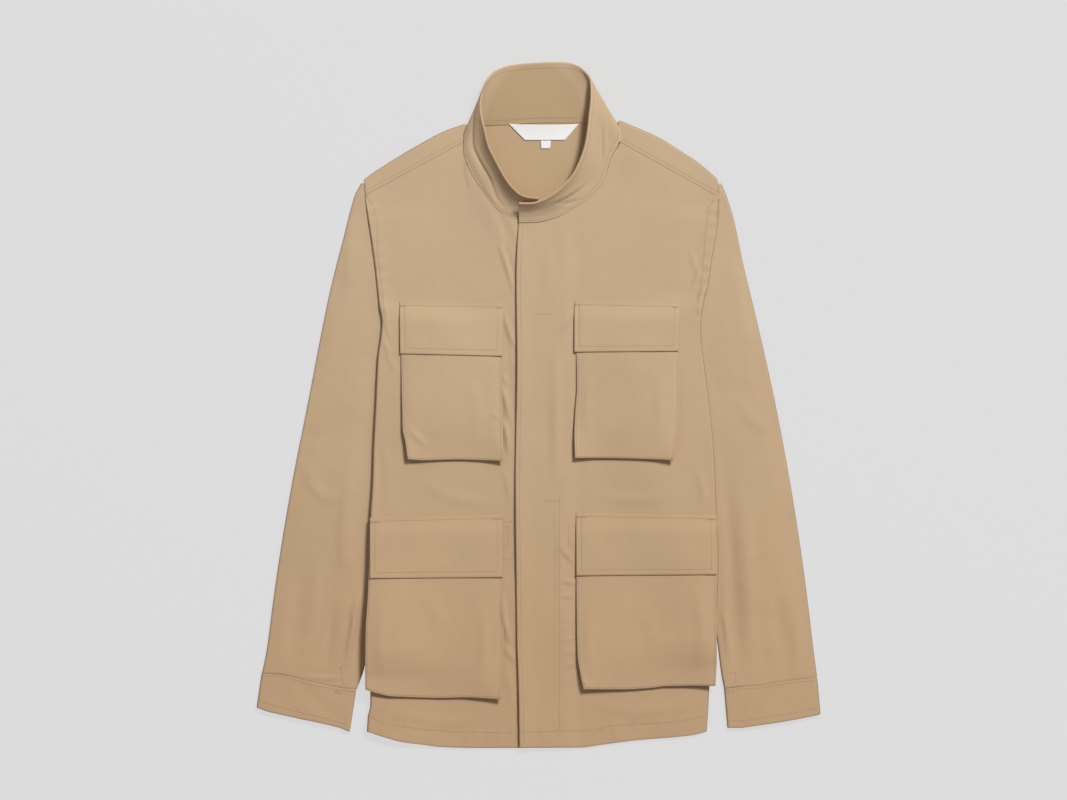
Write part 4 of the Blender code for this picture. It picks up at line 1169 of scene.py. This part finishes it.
def shell(name, grid, wall, kept=None, closed=False, weave=None, worn=1.0, folded=0.0):
    """A closed wall round a grid of middle points, with rounded edges."""
    rows, columns = grid.shape[:2]
    index = np.arange(rows * columns).reshape(rows, columns)
    if closed:
        index = np.concatenate((index, index[:, :1]), axis=1)
    quads = np.stack((index[:-1, :-1], index[:-1, 1:], index[1:, 1:], index[1:, :-1]), axis=-1)
    quads = quads.reshape(-1, 4)
    if kept is not None:
        quads = quads[kept.ravel()[quads].all(axis=1)]
    used, quads = np.unique(quads, return_inverse=True)
    quads = quads.reshape(-1, 4)
    points = grid.reshape(-1, 3)[used]
    weave = points[:, :2] if weave is None else weave.reshape(-1, 2)[used]

    a, b, c, d = (points[quads[:, n]] for n in range(4))
    facing = np.cross(c - a, d - b)
    normals = np.zeros_like(points)
    for n in range(4):
        np.add.at(normals, quads[:, n], facing)
    normals /= np.linalg.norm(normals, axis=1)[:, None]

    sides = np.concatenate([quads[:, [n, (n + 1) % 4]] for n in range(4)])
    _, which, uses = np.unique(
        np.sort(sides, axis=1), axis=0, return_inverse=True, return_counts=True
    )
    free = uses[which.ravel()] == 1
    border = sides[free]
    run = points[border[:, 1]] - points[border[:, 0]]
    out = np.zeros_like(points)
    for n in range(2):
        np.add.at(out, border[:, n], np.cross(run, normals[border[:, n]]))
    rim = np.unique(border)
    out[rim] /= np.linalg.norm(out[rim], axis=1)[:, None]
    inward = sides[~free]
    room = np.full(len(points), wall)
    lengths = np.linalg.norm(points[inward[:, 1]] - points[inward[:, 0]], axis=1)
    for n in range(2):
        np.minimum.at(room, inward[:, n], lengths)
    pull = np.minimum(wall / 2, 0.5 * room)[:, None]
    centre = points.copy()
    centre[rim] -= out[rim] * pull[rim]

    count = len(points)
    arcs = [math.pi / 2 - math.pi * n / RIM_STEPS for n in range(1, RIM_STEPS)]
    places = [centre + normals * wall / 2, centre - normals * wall / 2]
    for arc in arcs:
        round_edge = out * pull * math.cos(arc) + normals * wall / 2 * math.sin(arc)
        places.append((centre + round_edge)[rim])
    order = np.zeros(count, int)
    order[rim] = np.arange(len(rim))
    rings = [lambda v: v]
    rings += [lambda v, n=n: 2 * count + n * len(rim) + order[v] for n in range(len(arcs))]
    rings += [lambda v: v + count]
    faces = [quads, quads[:, ::-1] + count]
    u, v = border[:, 0], border[:, 1]
    for near, far in zip(rings, rings[1:]):
        faces.append(np.stack((near(v), near(u), far(u), far(v)), axis=-1))
    weave = np.vstack([weave, weave] + [weave[rim]] * len(arcs))
    # Painted shade: on turned folds by how far their faces tilt from the flat, and along the rims by
    # the rim value
    edge = folded * (1 - normals[:, 2] ** 2)
    edge[rim] = worn
    edge = np.concatenate([edge, edge] + [edge[rim]] * len(arcs))
    piece = add_mesh(name, np.vstack(places), np.vstack(faces).tolist(), weave, edge)
    trees[name] = piece
    return piece


def drop(name, course, up=1):
    """Places and normals on a piece under a course of plan points, STITCH_STEP mm apart."""
    line = np.array(course, float)
    line = smooth(line, max(2, int(length_of(line) / STITCH_STEP) + 1))
    towards = Vector((0.0, 0.0, -up))
    found = []
    for x, y in line * MM:
        place, normal, _, _ = tree_of(name).ray_cast(Vector((x, y, up * DROP_FROM)), towards)
        hit = place is not None
        found.append((np.array(place) / MM, np.array(normal) * up) if hit else None)
    return found


def tree_of(name):
    made = trees[name]
    if not isinstance(made, BVHTree):
        trees[name] = BVHTree.FromObject(made, bpy.context.evaluated_depsgraph_get())
    return trees[name]


def sew(name, courses):
    """Stitches along courses, each a list of (place, normal) STITCH_STEP mm apart."""
    points, faces = [], []
    for found in courses:
        for here, there in zip(found[::2], found[1::2]):
            if here is None or there is None:
                continue
            (start, up), (end, _) = here, there
            if abs(start[2] - end[2]) > STEEPEST_STITCH:
                continue
            run = end - start
            length = np.linalg.norm(run)
            up = up if up @ up > 0 else np.array((0.0, 0.0, 1.0))
            side = np.cross(up, run / length)
            side /= np.linalg.norm(side)
            first = len(points)
            for share, radius, rise in THREAD:
                middle = start + run * share + up * rise
                for n in range(THREAD_SIDES):
                    angle = 2 * math.pi * n / THREAD_SIDES
                    points.append(middle + radius * (side * math.cos(angle) + up * math.sin(angle)))
            for ring in range(len(THREAD) - 1):
                for n in range(THREAD_SIDES):
                    a = first + ring * THREAD_SIDES + n
                    b = first + ring * THREAD_SIDES + (n + 1) % THREAD_SIDES
                    faces.append((a, b, b + THREAD_SIDES, a + THREAD_SIDES))
            ends = range(first, first + THREAD_SIDES)
            faces.append(tuple(reversed(ends)))
            faces.append(tuple(n + THREAD_SIDES * (len(THREAD) - 1) for n in ends))
    piece = add_mesh(name, np.array(points), faces)
    piece.data.materials.append(thread)
    return piece


# Cloth and thread ----------------------------------------------------------------


class Nodes:
    """A short way to write a material's node tree."""

    def __init__(self, name):
        self.material = bpy.data.materials.new(name)
        self.material.use_nodes = True
        self.tree = self.material.node_tree
        self.shader = self.tree.nodes["Principled BSDF"]

    def add(self, kind, values=None, **options):
        node = self.tree.nodes.new(kind)
        for key, value in options.items():
            setattr(node, key, value)
        for key, value in (values or {}).items():
            self.put(value, node.inputs[key])
        return node

    def put(self, value, socket):
        if isinstance(value, bpy.types.NodeSocket):
            self.tree.links.new(value, socket)
        else:
            socket.default_value = value

    def math(self, operation, *values):
        node = self.add("ShaderNodeMath", dict(enumerate(values)), operation=operation)
        return node.outputs[0]

    def vector(self, operation, *values):
        node = self.add("ShaderNodeVectorMath", dict(enumerate(values)), operation=operation)
        return node.outputs[0]

    def scaled(self, colour, shade):
        values = {0: colour, "Scale": shade}
        return self.add("ShaderNodeVectorMath", values, operation="SCALE").outputs[0]

    def blend(self, share, colour, other):
        node = self.add("ShaderNodeMix", {0: share, 6: colour, 7: other}, data_type="RGBA")
        return node.outputs[2]

    def bumped(self, height, strength, distance):
        values = {"Height": height, "Strength": strength, "Distance": distance}
        return self.add("ShaderNodeBump", values).outputs["Normal"]

    def finish(self, values):
        for key, value in values.items():
            self.put(value, self.shader.inputs[key])

    def noise(self, place, scale, detail=3.0):
        values = {"Vector": place, "Scale": scale, "Detail": detail}
        return self.add("ShaderNodeTexNoise", values).outputs["Fac"]


SLUB_STRETCH = ((2200.0, 60.0, 60.0), (60.0, 2200.0, 60.0))
MOTTLE_NOISE = (9.0, 4.0)  # scale and detail
FINE_NOISE = (380.0, 2.0)
MOTTLE = 0.10  # how much each of them shades the cloth
FINE = 0.05
WEAVE = 0.02
# painted shade along rims and turned folds, per unit of the edge attribute; where that is below 0, a
# painted highlight
PAINTED_EDGE_SHADE = 0.07
CLOTH_BUMP = {"slubs": 0.8, "fine": 0.8}  # beside 1 for the weave
CLOTH_RELIEF = (0.35, 0.00012)  # strength and distance
CLOTH_GLOSS = 0.08
CLOTH_SHEEN = {"Specular IOR Level": 0.25, "Sheen Weight": 0.12, "Sheen Roughness": 0.45}
PLY_NOISE = (1500.0, 1.0)
PLY = 0.3
THREAD_RELIEF = (0.4, 0.0001)
THREAD_ROUGH = 0.6
NECK_SOFT = 0.9  # share of the neck's span from which its colour is in full


def canvas_material(name, colour, hem_shade_colour, thread_pitch, slub, rough):
    """Plain weave: fine crossing threads, thicker threads here and there, soft mottling."""
    made = Nodes(name)
    place = made.add("ShaderNodeTexCoord").outputs["Object"]
    cloth = made.add("ShaderNodeUVMap", uv_map="cloth").outputs["UV"]
    parts = made.add("ShaderNodeSeparateXYZ", {0: cloth}).outputs
    turn = 2 * math.pi / (2 * thread_pitch * MM)
    warp = made.math("SINE", made.math("MULTIPLY", parts[0], turn))
    weft = made.math("SINE", made.math("MULTIPLY", parts[1], turn))
    weave = made.math("MULTIPLY", warp, weft)
    streaks = [made.noise(made.vector("MULTIPLY", cloth, by), 1.0, 2.0) for by in SLUB_STRETCH]
    slubs = made.math("ADD", *streaks)
    mottle = made.noise(place, *MOTTLE_NOISE)
    fine = made.noise(place, *FINE_NOISE)
    edge = made.add("ShaderNodeAttribute", attribute_name="edge").outputs["Fac"]
    shade = made.math("MULTIPLY_ADD", made.math("SUBTRACT", slubs, 1.0), slub, 1.0)
    shade = made.math("MULTIPLY_ADD", made.math("SUBTRACT", mottle, 0.5), MOTTLE, shade)
    shade = made.math("MULTIPLY_ADD", made.math("SUBTRACT", fine, 0.5), FINE, shade)
    shade = made.math("MULTIPLY_ADD", weave, WEAVE, shade)
    # painted shade along rims and turned folds from the edge attribute, and a painted highlight where
    # it is below 0
    shade = made.math("MULTIPLY_ADD", edge, -PAINTED_EDGE_SHADE, shade)
    if hem_shade_colour:
        # painted shade: darker toward the hem
        along = made.add("ShaderNodeSeparateXYZ", {0: place}).outputs[1]
        ends = {0: along, "From Min": HEM_SHADE_FADE[0], "From Max": HEM_SHADE_FADE[1]}
        down = made.add("ShaderNodeMapRange", ends, interpolation_type="SMOOTHSTEP").outputs[0]
        colour = made.blend(down, (*colour, 1.0), (*hem_shade_colour, 1.0))
        # inside the neck: the cloth's reverse side, with painted shade
        inside = made.vector("SUBTRACT", place, NECK_MIDDLE)
        inside = made.vector("DIVIDE", inside, NECK_SPAN)
        far = made.add("ShaderNodeVectorMath", {0: inside}, operation="LENGTH").outputs[1]
        ends = {0: far, "From Min": 1.0, "From Max": NECK_SOFT}
        within = made.add("ShaderNodeMapRange", ends).outputs[0]
        colour = made.blend(within, colour, made.vector("MULTIPLY", colour, REVERSE_AND_SHADE))
    height = made.math("MULTIPLY_ADD", slubs, CLOTH_BUMP["slubs"], weave)
    height = made.math("MULTIPLY_ADD", fine, CLOTH_BUMP["fine"], height)
    gloss = made.math("MULTIPLY_ADD", mottle, CLOTH_GLOSS, rough)
    made.finish(
        {
            "Base Color": made.scaled(colour, shade),
            "Normal": made.bumped(height, *CLOTH_RELIEF),
            "Roughness": gloss,
            **CLOTH_SHEEN,
        }
    )
    return made.material


def thread_material():
    made = Nodes("sewing_thread")
    place = made.add("ShaderNodeTexCoord").outputs["Object"]
    ply = made.noise(place, *PLY_NOISE)
    shade = made.math("MULTIPLY_ADD", made.math("SUBTRACT", ply, 0.5), PLY, 1.0)
    made.finish(
        {
            "Base Color": made.scaled(THREAD_COLOUR, shade),
            "Normal": made.bumped(ply, *THREAD_RELIEF),
            "Roughness": THREAD_ROUGH,
        }
    )
    return made.material


# Pieces --------------------------------------------------------------------------

COLLAR_PLAN = (520, 55)  # mm of weave along it and up it
COLLAR_RIM_HIGHLIGHT = -2.2  # painted highlight along its rims: below 0 makes them lighter

trees = {}
canvas = canvas_material(
    "tan_cotton_canvas", CANVAS_COLOUR, HEM_SHADED_COLOUR, thread_pitch=0.5, slub=0.09, rough=0.82
)
label_weave = canvas_material(
    "white_woven_tape", LABEL_COLOUR, None, thread_pitch=0.35, slub=0.05, rough=0.6
)
thread = thread_material()


def dress(node, grid, wall=CLOTH, slot="canvas", held="laid", rests_on=(), **options):
    """The piece of cloth that stands for a CAD node."""
    piece = shell(f"{node}_cloth", grid, wall, **options)
    piece.data.materials.append(canvas if slot == "canvas" else label_weave)
    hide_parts(node)
    return piece


grid, kept = back_grid()
dress("back_panel", grid, kept=kept, folded=FOLD_SHADE[1])
for side, name in ((-1, "right"), (1, "left")):
    grid, kept = front_grid(side)
    lying = {"held": "folded", "rests_on": ["back_panel_cloth"]}
    dress(f"front_{name}", grid, kept=kept, folded=FOLD_SHADE[side], **lying)
    grid = sleeve_grid(side)
    turned = math.radians(SLEEVE_SLANT[side])
    plan = grid[..., :2] @ np.array(
        ((math.cos(turned), math.sin(turned)), (-math.sin(turned), math.cos(turned)))
    )
    dress(f"sleeve_{name}", grid, closed=True, weave=plan, folded=FOLD_SHADE[side])
    dress(f"cuff_{name}", cuff_grid(side), BAND, closed=True, folded=FOLD_SHADE[side])
at = steps(COLLAR_COLUMNS * (len(COLLAR) - 2)) * COLLAR_PLAN[0]
plan = np.stack(np.meshgrid(at, steps(COLLAR_RISES) * COLLAR_PLAN[1]), axis=-1)
for layer, name in ((COLLAR_LAYER, "outer"), (-COLLAR_LAYER, "inner")):
    dress(f"collar_{name}", collar_grid(layer), COLLAR_WALL, weave=plan, worn=COLLAR_RIM_HIGHLIGHT)
for name, pocket in POCKETS.items():
    front_name = "front_right_cloth" if pocket["side"] < 0 else "front_left_cloth"
    dress(f"bag_{name}", bag_grid(name, pocket), rests_on=[front_name])
    dress(f"gusset_{name}", gusset_grid(name, pocket), rests_on=[front_name])
    dress(f"flap_{name}", flap_grid(name, pocket), rests_on=[f"bag_{name}_cloth"])


LABEL_SLOT = 1.4  # between the neck label's loose top edge and the collar
LABEL_BOW = 1.6
LABEL_HOLD = 1.5  # how soon the bow dies out toward the sewn edge


def plate_grid(corners, count, lift):
    """A label between its corners, top left, top right, low right, low left."""
    top_left, top_right, low_right, low_left = (np.array(corner, float) for corner in corners)
    across, down = np.meshgrid(steps(2 * count), steps(count))
    across, down = across[..., None], down[..., None]
    place = mix(mix(top_left, top_right, across), mix(low_left, low_right, across), down)
    loose = np.sqrt(np.sin(math.pi * across)) * (1 - down) ** LABEL_HOLD
    place[..., 1:] -= LABEL_SLOT * (lift > 0) * loose
    bow = lift * np.sin(math.pi * across) * (1 - down) ** LABEL_HOLD
    return np.concatenate((place, CLOTH + GAP + LABEL / 2 + bow), axis=-1)


LABELS = (("neck_label", NECK_LABEL, 14, LABEL_BOW), ("size_tab", SIZE_TAB, 6, 0.0))
for name, corners, count, lift in LABELS:
    grid = plate_grid(corners, count, lift)
    dress(name, grid, LABEL, "label", rests_on=["back_panel_cloth"])


# Sewing: courses on the plan, in mm, on the side of a piece that faces up, and under it.
COURSES = {
    "front_right": (
        (
            (-200, -371), (-184.5, -377.2), (-151, -383.8), (-116.6, -387.6), (-78.5, -388.9),
            (-30, -390.4),
        ),
        (
            (-204.2, 247), (-196.5, 234.4), (-192.4, 215.4), (-192, 182), (-188, 150),
            (-184.5, 120), (-181, 98),
        ),
        ((-42.5, -144.6), (-36.3, -144.6)),
        ((-36.3, -144.6), (-36.3, -166.6)),
        ((-36.3, -166.6), (-42.5, -166.6)),
        ((-42.8, -139.2), (-29.8, -139.2)),
        ((-42.8, -183.3), (-29.8, -183.3)),
    ),
    "front_left": (
        (
            (-20, -389), (5, -388.4), (34.5, -387.6), (64.3, -387), (82, -382.5), (110.7, -380),
            (148, -378), (171.4, -375.2), (195, -370.5),
        ),
        (
            (207, 243), (201, 232), (200, 217.8), (198, 205), (196.2, 181), (193, 147.6),
            (190, 125), (187.5, 104),
        ),
        (
            (-18, -402), (-19, -344), (-21, -281), (-22, -195), (-23, -89), (-21, 50), (-22, 152),
            (-19.5, 213),
        ),
        ((24, -386), (24.5, -195), (24.4, -110)),
        ((-3, 108.4), (15.2, 108.4)),
        ((7.1, -114.2), (24.4, -114.2)),
        ((25, -258.2), (32.8, -258.2)),
        ((-18.1, -349.6), (-10.7, -355.8)),
        ((43, -142.8), (35.2, -142.8)),
        ((35.2, -142.8), (35.2, -166.6)),
        ((35.2, -166.6), (43, -166.6)),
    ),
    "back_panel": (
        ((-92.5, 316.5), (-208, 254)),
        ((100.5, 315.5), (214, 252.5)),
    ),
    "cuff_right": (
        ((-328, -321.8), (-306, -323), (-286, -328), (-263, -334), (-242, -338.2), (-220, -341)),
        ((-332, -352), (-315.4, -356.8), (-286.2, -364.7), (-260.6, -371), (-228, -380.5)),
        ((-242, -340), (-233, -342)),
        ((-242, -342), (-233, -344)),
    ),
    "cuff_left": (
        ((328, -327.6), (296, -331), (275, -334), (266, -336), (234, -338), (223, -340)),
        ((331, -360), (316, -363.5), (289, -368.5), (262, -372.5), (241, -375.5), (226, -376)),
        ((225, -341.5), (234, -340.5)),
    ),
    "sleeve_right": (
        ((-233, -333), (-236, -312)),
        ((-236, -312), (-226, -310)),
    ),
    "sleeve_left": (
        ((232, -331), (234.4, -318)),
        ((234.4, -318), (225, -317.7)),
    ),
}
UNDER_COURSES = {
    "front_right": (
        ((-198, -371.5), (-121, -388.5)),
    ),
    "front_left": (
        ((193, -371), (123, -381)),
    ),
    "back_panel": (
        ((-115, -389), (-76, -391), (40, -390), (76, -386.5), (117, -381.5)),
        ((-95, 40), (-120.5, -385)),
        ((107, 45), (122, -378)),
    ),
}
FLAP_INSETS = (4.4, 6.4, 6.8)  # stitches from a flap's top, sides and bottom
BAG_INSET = 2.2
BAG_STITCH_TOP = 52.0  # down the bag, hidden by the flap
EDGE_POINTS = 6  # of a course along one edge
BARTACKS = ((0.005, 8 / 120), (1 - 8 / 120, 0.995))  # spans, as shares of a flap's width
BARTACK_RISES = (0.8, 1.7)  # its two rows, below the flap's top course
COLLAR_STITCH = (0.05, 0.91)  # shares up the collar, in from its seam and from its edge


def inside(pocket, edges, ends, insets, from_top):
    """Courses a little inside a flap's or bag's edges: down, along the bottom, up, and back."""
    top, side, bottom = insets
    height = ends[0][0] - ends[0][1]
    width = edges[1][2] - edges[1][1]
    low, high = side / width, 1 - side / width
    first, last = from_top / height, 1 - bottom / height
    corners = [(low, first), (low, last), (high, last), (high, first)]
    runs = list(zip(corners, corners[1:]))
    if top:
        runs.insert(0, ((0.01, top / height), (0.99, top / height)))
    courses = []
    for start, end in runs:
        across = mix(start[0], end[0], steps(EDGE_POINTS))
        down = mix(start[1], end[1], steps(EDGE_POINTS))
        x, y, _ = pocket_point(pocket, edges, ends, across, down)
        courses.append(np.stack((x, y), axis=-1))
    return courses


sewn = {}


def stitch(node, course, up=1):
    sewn.setdefault(node, []).append(drop(f"{node}_cloth", course, up))


for table, up in ((COURSES, 1), (UNDER_COURSES, -1)):
    for node, courses in table.items():
        for course in courses:
            stitch(node, course, up)
for name, pocket in POCKETS.items():
    flap = (pocket, pocket["flap"], pocket["flap_ends"])
    for course in inside(*flap, FLAP_INSETS, FLAP_INSETS[0]):
        stitch(f"flap_{name}", course)
    top, low = pocket["flap_ends"][0]
    for left, right in BARTACKS:
        for rise in BARTACK_RISES:
            across = mix(left, right, steps(3))
            below = (FLAP_INSETS[0] + rise) / (top - low)
            x, y, _ = pocket_point(*flap, across, below + 0 * across)
            stitch(f"flap_{name}", np.stack((x, y), axis=-1))
    insets = (0, BAG_INSET, BAG_INSET)
    for course in inside(pocket, pocket["bag"], pocket["bag_ends"], insets, BAG_STITCH_TOP):
        stitch(f"bag_{name}", course)
for name, layer in (("outer", COLLAR_LAYER), ("inner", -COLLAR_LAYER)):
    face = math.copysign(COLLAR_WALL / 2, layer)
    hearts, skins = collar_grid(layer), collar_grid(layer + face)
    for share in COLLAR_STITCH:
        row = round(share * COLLAR_RISES)
        even = steps(int(length_of(skins[row]) / STITCH_STEP))
        places = walk(skins[row], even)
        ups = places - walk(hearts[row], even)
        ups /= np.linalg.norm(ups, axis=1)[:, None]
        sewn.setdefault(f"collar_{name}", []).append(list(zip(places, ups)))
for node, courses in sewn.items():
    sew(f"{node}_stitches", courses)


# Floor, light and camera -----------------------------------------------------------

FRAME_WIDTH = 1.2697  # what the photograph's width shows at the jacket, in metres
FRAME_CENTRE = (-0.0065, 0.00595)
CAMERA_HEIGHT = 8.0
SENSOR = 36.0
FLOOR_REACH = 6
FLOOR_GAP = 0.0002  # between the floor and what lies on it
GRAIN_SCALE = 3.0
GRAIN = 0.01  # from the lightest to the darkest place

floor_mesh = bpy.data.meshes.new("floor")
places = [(x * FLOOR_REACH, y * FLOOR_REACH, 0) for x, y in ((-1, -1), (1, -1), (1, 1), (-1, 1))]
floor_mesh.from_pydata(places, [], [(0, 1, 2, 3)])
floor = bpy.data.objects.new("floor", floor_mesh)
floor.location.z = -FLOOR_GAP
bpy.context.scene.collection.objects.link(floor)
paper = Nodes("studio_floor")
grain = paper.noise(paper.add("ShaderNodeTexCoord").outputs["Object"], GRAIN_SCALE)
shade = paper.math("MULTIPLY_ADD", grain, GRAIN, 1 - GRAIN / 2)
paper.finish(
    {
        "Base Color": paper.scaled(FLOOR_COLOUR, shade),
        "Roughness": 1.0,
        "Emission Color": (1.0, 1.0, 1.0, 1.0),
        "Emission Strength": FLOOR_GLOW,
        "Specular IOR Level": 0.0,
    }
)
floor_mesh.materials.append(paper.material)

KEY_FROM = (3.3, 4.9, 6.0)
KEY_POWER = 715.0
KEY_SIZE = 2.0
FILL = 0.29

lamp = bpy.data.lights.new("key", "AREA")
lamp.energy, lamp.size = KEY_POWER, KEY_SIZE
key = bpy.data.objects.new("key", lamp)
key.location = KEY_FROM
key.rotation_euler = (-Vector(KEY_FROM)).to_track_quat("-Z", "Y").to_euler()
bpy.context.scene.collection.objects.link(key)

world = bpy.data.worlds.new("studio")
world.use_nodes = True
world.node_tree.nodes["Background"].inputs["Color"].default_value = (1.0, 1.0, 1.0, 1.0)
world.node_tree.nodes["Background"].inputs["Strength"].default_value = FILL
bpy.context.scene.world = world
bpy.context.scene.view_settings.view_transform = "Standard"

lens = bpy.data.cameras.new("camera")
lens.sensor_width = SENSOR
lens.lens = SENSOR * CAMERA_HEIGHT / FRAME_WIDTH
lens.clip_end = 100.0
camera = bpy.data.objects.new("camera", lens)
camera.location = (*FRAME_CENTRE, CAMERA_HEIGHT)
bpy.context.scene.collection.objects.link(camera)
bpy.context.scene.camera = camera
